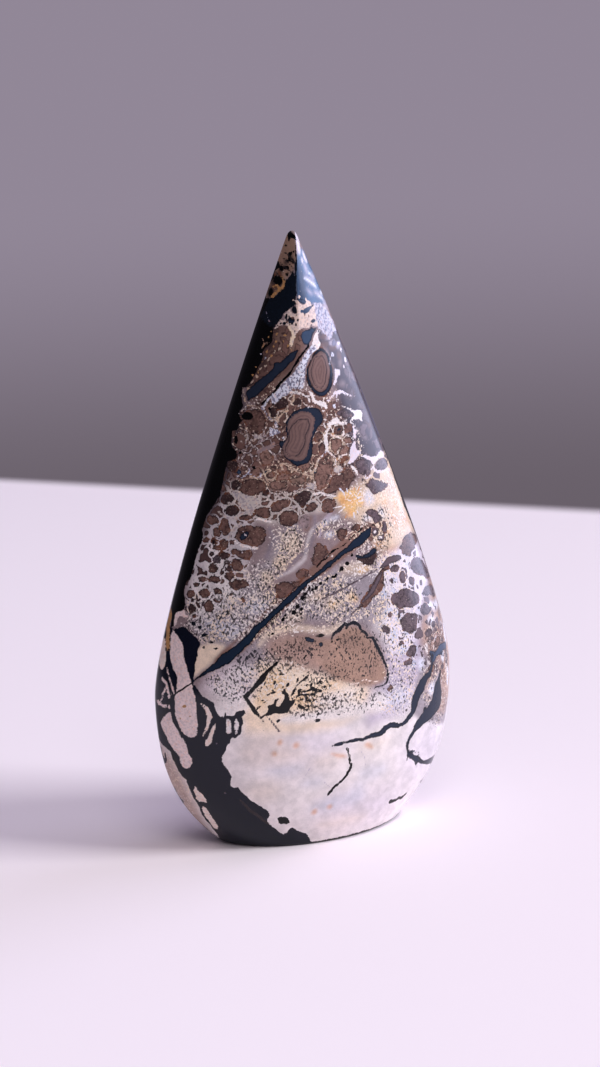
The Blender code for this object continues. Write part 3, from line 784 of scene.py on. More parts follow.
def bellyOfFront():
    # dendrites on the flecked cream: a broken diamond and ragged sprays
    darks.vein("black", (-10, 36, 0.3), (-11, 35.1, 0.36), (-12, 34.1, 0.4), (-13, 33, 0.55),
        (-14, 31.9, 0.45), (-15, 31.1, 0.36), (-15.8, 30.3, 0.45), (-15.2, 29, 0.4), (-14.5, 28, 0.4),
        (-13.9, 27.1, 0.36), (-13.2, 26.2, 0.3), (-12.6, 26.6, 0.2), (-12, 27, 0.25))
    darks.patch("black", -13, 26.3, -12, 27.1, -12, 28, -11.9, 28.6, -11, 28.6, -10.7, 29.4, -10, 29.9,
        -10, 29.3, -10.6, 28.4, -10.1, 28.1, -9.4, 28.9, -8.9, 29.6, -8.8, 30.6, -8.2, 30.4, -7.9, 29.6,
        -7.9, 29, -6.8, 29.2, -7.4, 28.2, -8.1, 27.6, -8.3, 26.9, -7.5, 26.6, -6.9, 26.1, -7, 25.3,
        -7.4, 26.1, -8.3, 26.7, -9.5, 26.7, -10.7, 26.8, -11.8, 26.6, smooth=False)
    darks.spots("black", (-8.4, 31.8, 0.5, 0.3, 50), (-9.2, 30.6, 0.3), (-10.4, 31.6, 0.35, 0.25),
        (-12.8, 29.4, 0.4, 0.3), (-13.4, 28.2, 0.3), (-7.2, 30.4, 0.6, 0.3, 60), (-5, 29.6, 0.7, 0.3, -20),
        (-4.6, 27.6, 0.6, 0.3, -10), (-3.4, 27.2, 0.5, 0.25), (-2.2, 31.6, 0.5, 0.25, -20),
        (-1.4, 30.6, 0.6, 0.25, -15), (-1.6, 27.4, 0.35, 0.25), (-5.6, 26, 0.4, 0.25), (-8.8, 33, 0.3, 0.2),
        (-11.4, 33.4, 0.3, 0.2), (0.2, 28.4, 0.35, 0.25), (1.6, 27.6, 0.3, 0.2), (-3.8, 25.6, 0.35, 0.2),
        (-6.8, 33.4, 0.3, 0.2), (3, 27, 0.3, 0.2), (-0.4, 26, 0.3, 0.2), (-3.6, 29.6, 0.7, 0.3, -15),
        (-6, 28.8, 0.5, 0.3))
    for knots in (
        ((-11.2, 35.4, 0.12), (-10.2, 35.2, 0.12)), ((-12, 34.4, 0.15), (-10.7, 34.3, 0.1)),
        ((-9.4, 33.9, 0.2), (-8.8, 33.7, 0.15)), ((-10.6, 32.6, 0.3), (-10.1, 32.2, 0.2)),
        ((-11.2, 30.7, 0.2), (-10.4, 30.8, 0.15)), ((-12.2, 30.3, 0.25), (-11.6, 30.6, 0.2)),
        ((-8.8, 31.1, 0.25), (-8.6, 30.1, 0.2)),
        ((-7, 31.2, 0.2), (-6, 32, 0.25), (-5.4, 32.4, 0.3), (-4.6, 32.9, 0.25), (-4.3, 33.2, 0.15)),
        ((-5.2, 31.5, 0.2), (-4, 31.3, 0.25), (-3.6, 32.2, 0.15)),
        ((-6.2, 30.8, 0.2), (-5.2, 30.5, 0.2), (-4.3, 30.4, 0.15)),
        ((-3.9, 30.8, 0.4), (-2.8, 30.2, 0.25), (-1.8, 29.6, 0.05)),
        ((-6.4, 29.8, 0.25), (-5.6, 29.8, 0.2)),
        ((-6.3, 27.8, 0.35), (-5.5, 27.2, 0.3), (-4.5, 26.8, 0.2), (-3.6, 26.4, 0.1)),
        ((-5, 28.8, 0.35), (-4, 28.5, 0.25), (-3.2, 28.6, 0.2), (-2.6, 28.4, 0.1)),
        ((-6.6, 31.9, 0.2), (-6.2, 32.9, 0.15)), ((-5.8, 31.2, 0.15), (-6.4, 30, 0.2)),
        ((-3.4, 31.8, 0.15), (-2.4, 31.2, 0.15)), ((-2.4, 29, 0.2), (-1.2, 28.6, 0.1)),
        ((4, 31.6, 0.12), (5.8, 30.7, 0.12)), ((5, 30, 0.12), (8, 30, 0.1)),
        ((-5.1, 36.3, 0.12), (-4.4, 36.9, 0.12)),
    ):
        darks.vein("black", *knots)
    darks.spots("black", (-9.4, 34.5, 0.3), (-11, 33.1, 0.2), (-10.6, 32.1, 0.2), (-9.4, 32.3, 0.25),
        (-10.2, 25.5, 0.45, 0.25, 40), (-2.9, 24.7, 0.75, 0.3), (1, 25.3, 0.45, 0.15), (-2.9, 25.9, 0.3),
        (0.4, 27, 0.25), (2.4, 28.7, 0.3), (4, 28.3, 0.25), (3.3, 28.2, 0.2), (-3, 30.3, 1.2, 0.35, -20),
        (6.4, 28.6, 0.3, 0.12), (-0.6, 29.9, 0.3, 0.15), (1.2, 29.4, 0.25), (5.6, 26.3, 0.3, 0.12, 30))
    fines.vein("slateBrown", (-12, 26.5, 0.14), (-11, 25, 0.14), (-9.8, 23.5, 0.1))
    # rim and spots of the pink-brown pebble
    darks.vein("navy", (0.2, 39, 0.2), (0.8, 40, 0.32), (1.8, 40.4, 0.38), (2.4, 40.9, 0.38),
        (2.9, 41.5, 0.32), (3.6, 41.2, 0.36), (4.4, 41.4, 0.32), (5, 41.2, 0.32), (5.9, 40.6, 0.28),
        (6.2, 39.8, 0.28), (7, 39.1, 0.3), (7.4, 38.2, 0.26), (8.4, 38.1, 0.3), (8.9, 37.2, 0.28),
        (9.4, 35.8, 0.3), (9.8, 35, 0.3), (10.4, 34, 0.3), (10.9, 32.8, 0.28), (11.2, 31.5, 0.3),
        (11.3, 30.3, 0.28), (10.9, 29.3, 0.22), (9.8, 28.9, 0.2), (8.4, 29.1, 0.14))
    fines.vein("lensPale", 3, 30.4, 4.6, 30.3, 6.4, 30.9, 8, 30.2, 9.6, 29.9, half=0.14)
    darks.spots("deepSlate", (-3.8, 39.6, 1, 0.45, -25), (-1.7, 38.4, 0.5, 0.45))
    darks.spots("black", (-1.8, 40, 0.9, 0.35), (1.7, 38.7, 0.6, 0.3), (4.8, 38.6, 0.5, 0.25),
        (1.1, 37.2, 0.25), (7.4, 35.5, 0.2), (3.4, 40.6, 0.3), (-6, 40.2, 0.3, 0.15), (0.3, 38.6, 0.3))
    # S-shaped vein, the hook beside it and the thread that falls from it
    darks.vein("deepSlate", (-0.3, 19.5, 0.26), (1.5, 19.65, 0.3), (3.5, 19.9, 0.34), (4.8, 19.9, 0.34),
        (5.7, 19.7, 0.34), (6.8, 19.9, 0.44), (8, 20, 0.5), (9.5, 20.1, 0.55), (10.5, 20.8, 0.6),
        (11.5, 21.2, 0.55), (12.6, 21, 0.55), (13.6, 20.6, 0.45), (14.5, 20.7, 0.45), (15.6, 21.2, 0.6),
        (16.5, 21.9, 0.7), (17.2, 22.8, 0.75), (17.4, 23.8, 0.9), (18, 25, 1), (18.9, 26.2, 1.15),
        (19.8, 27.3, 1.1), (20.8, 28, 0.9), (21.7, 28.4, 0.7), (22.4, 29.3, 0.5), (23, 30.6, 0.4),
        (22.8, 32, 0.5))
    darks.vein("slate", (23, 30.6, 0.4), (24.6, 31.6, 0.6), (26.5, 32.2, 0.8), (29, 32, 0.8))
    darks.vein("black", (2.9, 17.7, 0.15), (3, 16.6, 0.25), (3.3, 15.2, 0.25), (3.2, 14.4, 0.3),
        (2.6, 13.4, 0.35), (1.5, 12.4, 0.25), (0.3, 11.5, 0.25), (-0.6, 10.6, 0.25), (-1.1, 9.9, 0.15))
    darks.vein("black", 2.5, 18.7, 2.9, 17.7, half=0.2)
    fines.vein("paleLavender", 5.3, 17.6, 6.2, 16, 6.3, 14.6, half=0.14)
    fines.vein("paleLavender", -1.9, 12.9, -0.8, 11.5, half=0.14)
    fines.vein("paleLavender", -4.6, 16, -5.7, 13.9, half=0.12)
    darks.vein("deepSlate", (24.6, 25.4, 1.2), (24.6, 23.8, 1.7), (24.2, 22.4, 1.9), (23, 21.7, 1.7),
        (21.6, 21, 1.4), (20.2, 20.5, 1.2), (19, 19.9, 1), (18, 19.3, 0.8), (17.2, 18.5, 0.55),
        (16.3, 17.4, 0.45), (15.9, 16.4, 0.4), (15.9, 15.4, 0.4), (16.3, 14.6, 0.5), (16.9, 14, 0.55),
        (17.8, 13.4, 0.6), (18.8, 12.7, 0.55), (19.8, 12, 0.5), (21.2, 11.3, 0.45), (22.6, 10.9, 0.5),
        (24, 10.6, 0.7), (25.5, 10.3, 0.95), (27, 9.9, 1.1), (28.6, 9.3, 1.2), (30.5, 8.5, 1.3), (33, 8, 1),
        (36, 9, 0.5))
    darks.vein("deepSlate", (24.6, 25.8, 0.9), (25.2, 26.8, 0.5), (25.8, 28, 0.3))
    darks.vein("deepSlate", (20.3, 22.4, 0.4), (20.6, 21.5, 0.6))
    darks.vein("slate", 17, 14.9, 18, 14.5, 19, 14.1, 19.1, 13.3, half=0.15)
    darks.vein("deepSlate", 15.9, 14.2, 15.9, 13.3, half=0.2)
    darks.vein("deepSlate", (18.3, 12.6, 0.35), (18.6, 11.8, 0.3), (19, 11, 0.25))
    darks.vein("black", (12.8, 5.5, 0.5), (14.2, 5.3, 0.3), (14.8, 5.7, 0.35), (16, 5.4, 0.4),
        (17.4, 5.8, 0.2))
    darks.vein("slateBrown", (21.7, 6.9, 0.1), (22.8, 6.5, 0.4), (24.2, 5.9, 0.5), (25.5, 5.6, 0.5),
        (27, 5.2, 0.5))


def longVein():
    darks.vein("veinSlate", (10, 57.3, 0.2), (9.3, 56.6, 0.7), (8, 55.9, 0.95), (7, 55.4, 0.9),
        (6, 55, 0.75), (5, 54.5, 0.6), (4, 54, 0.5), (3, 53.5, 0.45), (2, 52.9, 0.45), (1, 52.3, 0.5),
        (0, 51.7, 0.5), (-1, 51.1, 0.5), (-2, 50.5, 0.45), (-3, 49.9, 0.4), (-4, 49.2, 0.5),
        (-5, 48.4, 0.55), (-6, 47.6, 0.55), (-7, 46.9, 0.55), (-8.5, 45.7, 0.55), (-10, 44.5, 0.5),
        (-12, 42.95, 0.6), (-13.5, 41.7, 0.7), (-15, 40, 0.75), (-17, 38.4, 0.85), (-19, 37, 1),
        (-20.5, 36, 0.75), (-22, 35.1, 0.45), (-23.4, 34.1, 0.25), (-25, 33.05, 0.15))
    fines.vein("black", -25, 33, -25.7, 32.4, -27, 31.6, -28, 31, -29, 30.1, -30, 29.2, -31, 27, -32, 25.7,
        -33.5, 24.4, half=0.18)
    darks.vein("black", (11, 57.5, 0.18), (9.8, 57.9, 0.15), (8, 57.6, 0.15), (7, 57, 0.18),
        (6.2, 56.7, 0.15), (5.5, 56.3, 0.2), (4.7, 55.8, 0.15), (3.9, 55.2, 0.2), (2.9, 54.9, 0.15),
        (1.8, 54.5, 0.2), (1.1, 54.2, 0.15), (0.5, 53.3, 0.2), (-0.7, 52.9, 0.15), (-1.5, 52.2, 0.18))
    darks.spots("black", (5.5, 53.3, 0.3), (4.2, 51.9, 0.45), (3.2, 51.1, 0.5), (2, 50.2, 0.35),
        (1.5, 50, 0.7, 0.3), (0.3, 49.9, 0.3), (-1, 49.1, 0.35), (-1.9, 48.4, 0.4), (-2.6, 48.2, 0.4),
        (-3.2, 48.4, 0.4), (-3.9, 47.6, 0.35), (-4.5, 46.9, 0.5), (-5.5, 45.5, 0.45), (-4.9, 45, 0.3),
        (-5.1, 44.2, 0.3), (-6.3, 44.5, 0.5), (-7.4, 45.2, 0.25), (-7.8, 44.2, 0.35), (-8.3, 43.5, 0.4),
        (-2.5, 44.7, 0.25), (-10.2, 41.1, 0.25), (-11, 40.9, 0.25))
    lights.spots("cream", (1.4, 53.6, 0.25), (0.7, 53.6, 0.18), (6.8, 53.6, 0.16), (7.3, 53.5, 0.16),
        (7.8, 53.6, 0.16), (8.3, 53.5, 0.16), (8.8, 53.6, 0.16), (9.4, 53.8, 0.16))
    cells.patch("brown", -9.6, 49.3, -8.6, 49.9, -7.6, 50.3, -6.4, 50.1, -5.2, 50, -4, 49.9, -5, 49,
        -6, 48.2, -7.2, 47.4, -8.3, 46.8, -9.4, 47.4, -9, 48.2)
    cells.patch("brown", -1, 56.4, -0.2, 56, 0.5, 55.3, 1, 54.5, 0.6, 53.8, -0.3, 53, -1.3, 52.4,
        -2.3, 52.3, -2.5, 53.2, -2.3, 54.2, -2, 55.3, -1.6, 56)
    cells.patch("brown", 2.5, 57.7, 2.9, 58.3, 4, 58.4, 4.9, 57.9, 5, 57.2, 4.3, 56.3, 3.5, 55.7, 2.9, 56.3,
        2.5, 57)
    darks.patch("deepSlate", 5.9, 53, 6.8, 53.3, 7.2, 52.9, 8.5, 52.9, 9.5, 53.4, 10, 53.9, 11.3, 53.5,
        10.8, 52.9, 9.6, 52.3, 8.2, 52.1, 7, 52.3, 6.2, 52.6)
    cells.patch("deepBrown", 5.6, 52.8, 7, 53, 9, 53, 11.3, 53, 10.6, 51.9, 10.2, 51.1, 9.2, 50.7, 8, 51.1,
        6.9, 51.8)
    cells.patch("slateBrown", 9, 60.2, 9.8, 60.6, 11.3, 60.5, 12.5, 59.5, 13.3, 58.7, 12.8, 58, 12, 57.9,
        11.3, 57.6, 10.8, 58.2, 10.6, 59, 10, 59.3, 9.4, 59.8)
    cells.patch("slateBrown", 12, 56.6, 12.9, 57.2, 13, 58, 13.8, 57.9, 14.3, 57.2, 14.4, 56.2, 13.2, 55.7,
        12.5, 56.1)
    cells.spots("slateBrown", (11, 56.5, 0.9, 0.8), (12.2, 55.2, 1, 0.7))
    lights.spots("cream", (11, 56.5, 0.4, 0.3), (12.2, 55.3, 0.45, 0.3))
    # flat wedges of slate that run in from the right
    darks.patch("slateBrown", 10, 49.7, 10.8, 50.1, 12.2, 50.7, 13, 51.3, 14.2, 51.7, 16, 51.5, 17, 51.2,
        16.8, 50.4, 15.4, 50.1, 14, 50.2, 12.5, 49.9, 11, 49.8)
    fines.vein("darkBrown", (10, 49.7, 0.12), (9, 49.4, 0.12), (7, 48.9, 0.1), (4.8, 48.3, 0.1),
        (3, 47.7, 0.1), (1, 47, 0.09), (-2.8, 46, 0.08), (-4, 45.3, 0.07))
    cells.patch("brown", 5.2, 43.3, 6.5, 44.9, 7.8, 46.2, 9.2, 47.8, 10.5, 48.9, 11.2, 49.8, 12, 50.2,
        13.6, 50.1, 13.5, 49.3, 12.2, 49.2, 12, 47.9, 11.9, 46.8, 10.8, 45.9, 9.8, 45.4, 9, 45, 8.4, 44.1,
        7.3, 43.7, 6.4, 43.9)
    darks.vein("slateBrown", (7, 44.8, 0.3), (9, 46.3, 0.5), (10.6, 48, 0.5), (11.4, 49, 0.3))


footOfFront()
bellyOfFront()
longVein()
print("veins drawn")


def cellsOfFront():
    # packed cells of the left flank
    cells.spots("deepBrown", (-14.5, 67, 1.3, 1), (-9.8, 65.8, 0.9), (-16.6, 64.6, 1.4, 1.1),
        (-15.8, 62.6, 1.5, 1.1), (-15.3, 70.2, 1.3, 1.1), (-17.8, 55, 1.1, 0.75), (-20.1, 55.1, 0.6),
        (-19.5, 57.3, 0.6), (-24.6, 45.6, 1, 0.9), (-24.1, 44.5, 0.5), (-24.3, 47.2, 0.6))
    cells.spots("brown", (-12, 66.6, 2.8, 1.5), (-7.3, 63.3, 2.2, 0.95, 25), (-5.9, 61, 1.9, 1.5),
        (-10.2, 62.2, 1.6, 1), (-13.2, 61.6, 1.6, 0.6, 15), (-19.6, 60.9, 1.2, 0.9),
        (-17.3, 59.8, 0.95, 1.6), (-18.9, 58.9, 0.9, 0.8), (-17.7, 57, 0.95, 0.9),
        (-21.1, 57.4, 0.75, 0.55), (-19.3, 56.2, 0.85, 0.45), (-17.3, 53, 1, 1.3), (-15.7, 53.3, 1.2, 1.2),
        (-17.2, 51.5, 1, 0.9), (-20, 52.5, 1, 1), (-20, 50.8, 1.2, 0.8), (-22.3, 50.8, 0.9, 0.6),
        (-23.4, 49.8, 0.8, 0.6), (-15.6, 50, 1.8, 1), (-22, 48.4, 1.2, 0.9), (-19.5, 48.8, 0.9, 0.8),
        (-24.8, 48, 1, 0.8), (-21.3, 46.2, 1.1, 1.2), (-18.6, 52.2, 0.5, 0.8), (-15, 47.6, 0.3, 0.5))
    cells.spots("slateBrown", (-19.2, 54.2, 0.9, 0.8), (-17.3, 53.4, 0.6, 0.7), (-19.4, 47.7, 0.4),
        (-22.4, 46.6, 0.5))
    cells.spots("lightBrown", (-7.2, 66.8, 1.6, 1), (-6, 68.2, 1.4, 0.8), (-9, 71.6, 1.3, 1.3),
        (-10.9, 69.3, 1.3, 0.8), (-6.2, 69.6, 1.2, 0.7), (-4, 68.5, 1.4, 0.9), (-2.2, 69.7, 1.3, 0.8),
        (-13, 69.8, 0.7, 0.5))
    cells.spots("tan", (-3.5, 67.5, 1.8, 1.1), (-1.9, 67.2, 0.9, 0.8))
    cells.spots("brown", (-1.6, 62.6, 1.3, 0.95, 25), (1.6, 62.5, 1.5, 1.4), (5.7, 70.2, 1.2, 0.7),
        (5, 69.2, 0.6), (-4.3, 51.2, 1.2, 0.9), (6.6, 57.9, 1.1, 0.7))
    cells.patch("brown", -15.6, 58.3, -15.3, 59, -15, 59.7, -14, 60.2, -12.5, 60.1, -11, 60, -10.2, 59.6,
        -9.9, 58.8, -10.2, 57.6, -10.8, 56.7, -11.8, 56.3, -13, 56.5, -14.3, 56.9, -15.3, 57.4, -16, 58)
    cells.patch("brown", -16.9, 55.7, -16, 56.4, -14.5, 55.9, -13, 55.9, -12.6, 55, -13.2, 54.3,
        -14.6, 54.4, -15.6, 54.9, -16.4, 55.2)
    cells.patch("deepBrown", -4.8, 64.6, -4, 65.3, -2.8, 65.6, -1.6, 65.4, -0.8, 65.1, -1.7, 64.4,
        -1.8, 63.6, -2.6, 62.9, -3.4, 62.7, -4.1, 63.2, -4.7, 63.9)
    cells.patch("lightBrown", 0.3, 71, 3, 71.3, 3.5, 70, 3.4, 69, 3, 68.2, 2.3, 67.5, 1.9, 66.8, 1.4, 66,
        0.5, 65.3, -0.5, 65.4, -0.3, 66.3, -0.7, 67, -1, 67.9, -0.6, 68.7, 0, 69.4, 0.1, 70.2)
    cells.patch("brown", 2.4, 67.3, 3.3, 67.8, 4.5, 67.7, 5.3, 68.4, 6.5, 68.3, 7.1, 67.6, 7.7, 67.1,
        8.3, 66.6, 7.5, 66, 6.9, 65.9, 6.3, 65.2, 6, 64.6, 4.8, 64.4, 3.8, 65, 3, 64.3, 1.8, 64.5,
        0.9, 64.8, 1, 65.4, 2, 66, 2.3, 66.8)
    cells.patch("slateBrown", 8, 69, 8.8, 69.5, 9.5, 69.6, 10.7, 69.3, 12, 68.9, 12.3, 68.4, 11.8, 67.6,
        12, 66.8, 11.2, 66.2, 10.5, 66.3, 10, 66.4, 8.9, 66.8, 8.2, 67.6, 8, 68.3)
    cells.patch("slateBrown", 9, 65.4, 10.3, 65.1, 11, 65.6, 12.2, 65.9, 12.8, 65.3, 14, 65.1, 15.8, 64.2,
        16.6, 63.6, 15, 63.2, 13.6, 62.9, 12.3, 62.7, 11.2, 63.2, 10.5, 64.1, 9.5, 64.7)
    cells.patch("slateBrown", 12.2, 67.5, 13, 67.6, 14, 68.1, 15, 68.6, 17, 68.4, 18.2, 68, 18.4, 67.2,
        17.8, 66.6, 16, 66.3, 14.4, 66.5, 13.3, 66.7, 13.1, 67.2)
    cells.patch("lavender", -4, 61.2, -2.6, 61.5, -1.9, 60.6, -2.2, 59.5, -2.5, 58.6, -3.3, 59.2,
        -3.9, 59.8)
    # cells of the brown ground round the orbs
    cells.patch("brown", -11, 80, -9.5, 80, -8.8, 79, -8.6, 78, -8.5, 77, -9, 76, -10, 75.6, -11.5, 75.6,
        -12, 76.5, -12.2, 77.5, -12.8, 78, -12.4, 79.4)
    cells.spots("deepBrown", (-5.8, 80.9, 1.6, 1.1), (-3, 81, 1, 0.7), (-7.2, 79.6, 0.9, 1),
        (-6.7, 76.9, 0.6, 0.5))
    cells.spots("lightBrown", (4.2, 72.8, 1.4, 1.3), (5.6, 71.6, 1.3, 0.9), (5.6, 70.2, 1.2, 0.6),
        (1.9, 70.3, 1.4, 1.3), (6.9, 73.3, 1.2, 0.6), (-7.8, 69.8, 0.8, 0.6), (-8.6, 68.5, 0.8, 0.7),
        (-5, 69, 0.7, 0.5))
    cells.spots("brown", (7.3, 75.2, 1.2, 0.9), (5, 75.2, 1.2, 0.9), (0.7, 74.6, 0.9, 1),
        (1.2, 72.6, 0.8, 1.2), (-0.9, 69.2, 0.8, 0.6), (7.4, 71, 0.7, 0.8))
    cells.patch("slateBrown", 4.7, 78.2, 5.8, 78.7, 7, 78.8, 8, 78.2, 8.8, 77.6, 8.9, 77.1, 7.5, 76.7,
        6.5, 76.8, 5.8, 77.3)
    darks.spots("slate", (5, 75.3, 0.5, 0.35), (-9.2, 69.2, 0.3), (-13.9, 69.2, 0.5),
        (-0.4, 68.6, 0.4, 0.25))
    darks.spots("deepSlate", (-13.9, 58.4, 1.1, 0.6, 40))
    darks.spots("black", (-12, 78.7, 1.2, 0.6), (-11.3, 70.1, 0.4), (-7.8, 80.1, 0.4), (-19.5, 57.3, 0.3),
        (-13.6, 72.6, 0.4, 0.3), (-14.4, 74.6, 0.5, 0.7))
    # brown-grey cells of the right belly
    cells.patch("brown", 16, 52.6, 17.5, 53, 18.2, 53.8, 19, 54.2, 21.5, 54.4, 23.3, 54, 24.5, 53, 24.5, 52,
        22.5, 51.8, 22.3, 51.2, 20.5, 51, 20.3, 50.4, 19.5, 50.2, 17.8, 50.8, 17.3, 51.6, 17.2, 52.2)
    cells.spots("slateBrown", (14.9, 49.3, 1.3, 0.7), (16.7, 47.3, 0.9, 1.2), (19.1, 46.1, 1, 0.8, -30),
        (11.3, 39, 1.2, 0.7, -35), (14.7, 35.8, 0.7, 0.55), (16.1, 31.9, 1.3, 0.55), (22.6, 36, 1.4, 0.9),
        (24.6, 37, 1, 0.7), (13.8, 47.2, 0.5, 0.6), (12.6, 41.4, 0.5, 0.4))
    cells.patch("slateBrown", 19.1, 48.7, 20.2, 49.8, 22, 49.9, 24, 49.4, 25.5, 48, 27, 46, 28.5, 44.8,
        26, 45, 24, 45.8, 22, 46.6, 20.2, 47.2)
    cells.patch("slateBrown", 13, 43.9, 13.8, 45, 15.5, 45.3, 17, 45.4, 18.2, 44.9, 19.3, 44.2, 20.6, 43.5,
        20.9, 42.5, 20.2, 41.7, 18.6, 41.3, 17.3, 41.6, 15.6, 41.7, 14.8, 42.1, 13.6, 42.9)
    cells.patch("slateBrown", 21.5, 43.2, 22.8, 44, 24.5, 44.1, 26.5, 43.8, 29, 43, 29, 41.5, 27, 41.2,
        25.5, 42.2, 23.5, 42.4, 22, 42.7)
    cells.patch("slateBrown", 14.6, 40.2, 15.8, 40.7, 17.5, 40.9, 19.6, 40.4, 19.9, 39.6, 19.3, 38.8,
        19, 37.3, 18, 36.7, 17, 37.1, 15.5, 37.8, 15, 38.8)
    cells.patch("slateBrown", 20.5, 40.6, 21.3, 41.5, 22.4, 41.5, 23.8, 40.8, 25, 40, 24.5, 39.4,
        22.8, 39.1, 21, 39.5)
    cells.patch("slateBrown", 15.5, 33.6, 16.2, 34.3, 16.6, 35, 18.2, 34.9, 18.7, 34.2, 18.4, 33,
        17.5, 32.6, 16.3, 32.9)
    cells.spots("lightBrown", (22.5, 29.5, 1.4, 0.9), (11.7, 28.2, 0.7, 0.6), (25.5, 33.5, 1.6, 0.9, 20))
    darks.vein("slate", (22.5, 32.5, 0.3), (25, 31.6, 0.5), (27, 31, 0.3))
    darks.vein("black", 11.6, 36.1, 12.5, 35.7, 13, 35, 13.1, 33.9, half=0.16)
    darks.spots("black", (11.7, 34.8, 0.2), (13.5, 24, 0.2), (13.1, 27.4, 0.25, 0.15),
        (14.2, 28.8, 0.35, 0.3))
    lights.spots("pinkWhite", (18.1, 39.7, 0.2), (17, 38.3, 0.17), (-14.6, 55.5, 0.2))
    # a dark vein and slate beyond the right edge
    darks.vein("black", (18, 70.6, 0.2), (19, 69.4, 0.6), (20.5, 66, 1), (21.7, 62.4, 1.2), (23, 59, 1.4),
        (24.7, 55.4, 1.2), (26.8, 51.4, 0.9), (28.6, 48.8, 0.4), (31, 47, 0.15))
    darks.patch("flankSlate", 12, 91.4, 12.4, 87, 14, 81, 15.2, 76, 16.4, 73.4, 17.4, 71.6, 19.4, 72.6,
        20.4, 70.8, 22, 73.4, 23.6, 72.8, 23.4, 77, 21, 81.4, 18.6, 86.6, 15.4, 92, 13.4, 93)
    cells.spots("slateBrown", (24.4, 64, 1.6, 1.3), (22.9, 67.4, 1.2, 0.9), (27.4, 61.8, 1.5, 1.1),
        (26.9, 57.6, 1.2, 0.9), (30.2, 57.8, 1.3, 1), (24.8, 69.6, 1.1, 0.9), (30.6, 52.6, 1.6, 1),
        (27.6, 66, 1.2, 1.4))


def orbsOfFront():
    outer = (-6.5, 74.4, -6.5, 73.5, -6.2, 72.4, -5.6, 71.3, -4.6, 70.4, -3.4, 69.9, -2.2, 70.2, -1.4, 70.6,
        -0.9, 71.4, -0.6, 72.3, -0.4, 73.3, -0.6, 74.3, 0, 75.2, 0.6, 76.2, 1.2, 76.6, 1.9, 77.3, 1.8, 78.4,
        1, 79.4, 0, 79.8, -1, 80, -2.2, 79.9, -3.4, 79.5, -4, 78.9, -5, 78, -5.4, 77.3, -5.3, 76.3,
        -5.1, 75.4, -5.2, 74.6, -5.9, 74.4)
    inner = (-1.2, 79.2, -0.3, 78.6, 0.2, 77.8, 0, 76.9, -0.4, 76, -0.7, 75, -0.9, 74, -1.3, 73, -1.7, 72,
        -2.2, 71.2, -3.2, 70.7, -4.2, 70.9, -5, 71.2, -5.9, 72, -6.2, 72.9, -6.1, 73.2, -5.7, 74,
        -5.1, 74.7, -4.8, 75.5, -5, 76.5, -4.9, 77.4, -4.3, 78.2, -3.4, 78.9, -2.3, 79.3)
    core = (-1.2, 77.8, -1, 77, -1.4, 76, -1.9, 75, -2, 74, -2.4, 73, -3, 72, -4, 71.5, -5, 71.8,
        -5.7, 72.6, -5.5, 73.4, -4.9, 74.3, -4.7, 75.3, -4.6, 76.2, -4, 77.1, -3, 77.8, -2, 78, -1.2, 77.8)
    darks.patch("deepSlate", *outer)
    lights.patch("heart", *inner)
    fines.vein("heartRing", *core, half=0.16)
    outer = (0.5, 88.2, 0, 87.4, -0.7, 86.5, -0.9, 85.5, -0.9, 84.4, -0.6, 83.3, 0, 82.4, 1, 81.6,
        2.2, 81.3, 3.3, 81.5, 4.4, 82.3, 5, 83.2, 5.4, 84.3, 5.6, 85.5, 5.5, 86.6, 5.3, 87.6, 4.9, 88.6,
        4.2, 89.4, 3, 89.9, 1.8, 89.4)
    inner = (-0.2, 86.2, -0.2, 84.8, 0.1, 83.6, 0.9, 82.6, 2, 82.2, 3, 82.5, 3.8, 83.3, 4.4, 84.5, 4.8, 86,
        4.6, 87.6, 4, 88.7, 2.8, 89.1, 1.2, 88.2, 0.3, 87.2)
    core = (0.9, 87.2, 0.4, 86.2, 0.3, 85, 0.5, 83.9, 1.2, 83.1, 2.1, 82.8, 3, 83.4, 3.5, 84.4, 3.9, 85.8,
        3.9, 87.2, 3.3, 88.3, 2.2, 88.4, 1.4, 88, 0.9, 87.2)
    cells.patch("brown", *outer)
    darks.ring("deepSlate", outer, inner, 0.15)
    lights.patch("heart", *inner)
    fines.vein("heartRing", *core, half=0.14)


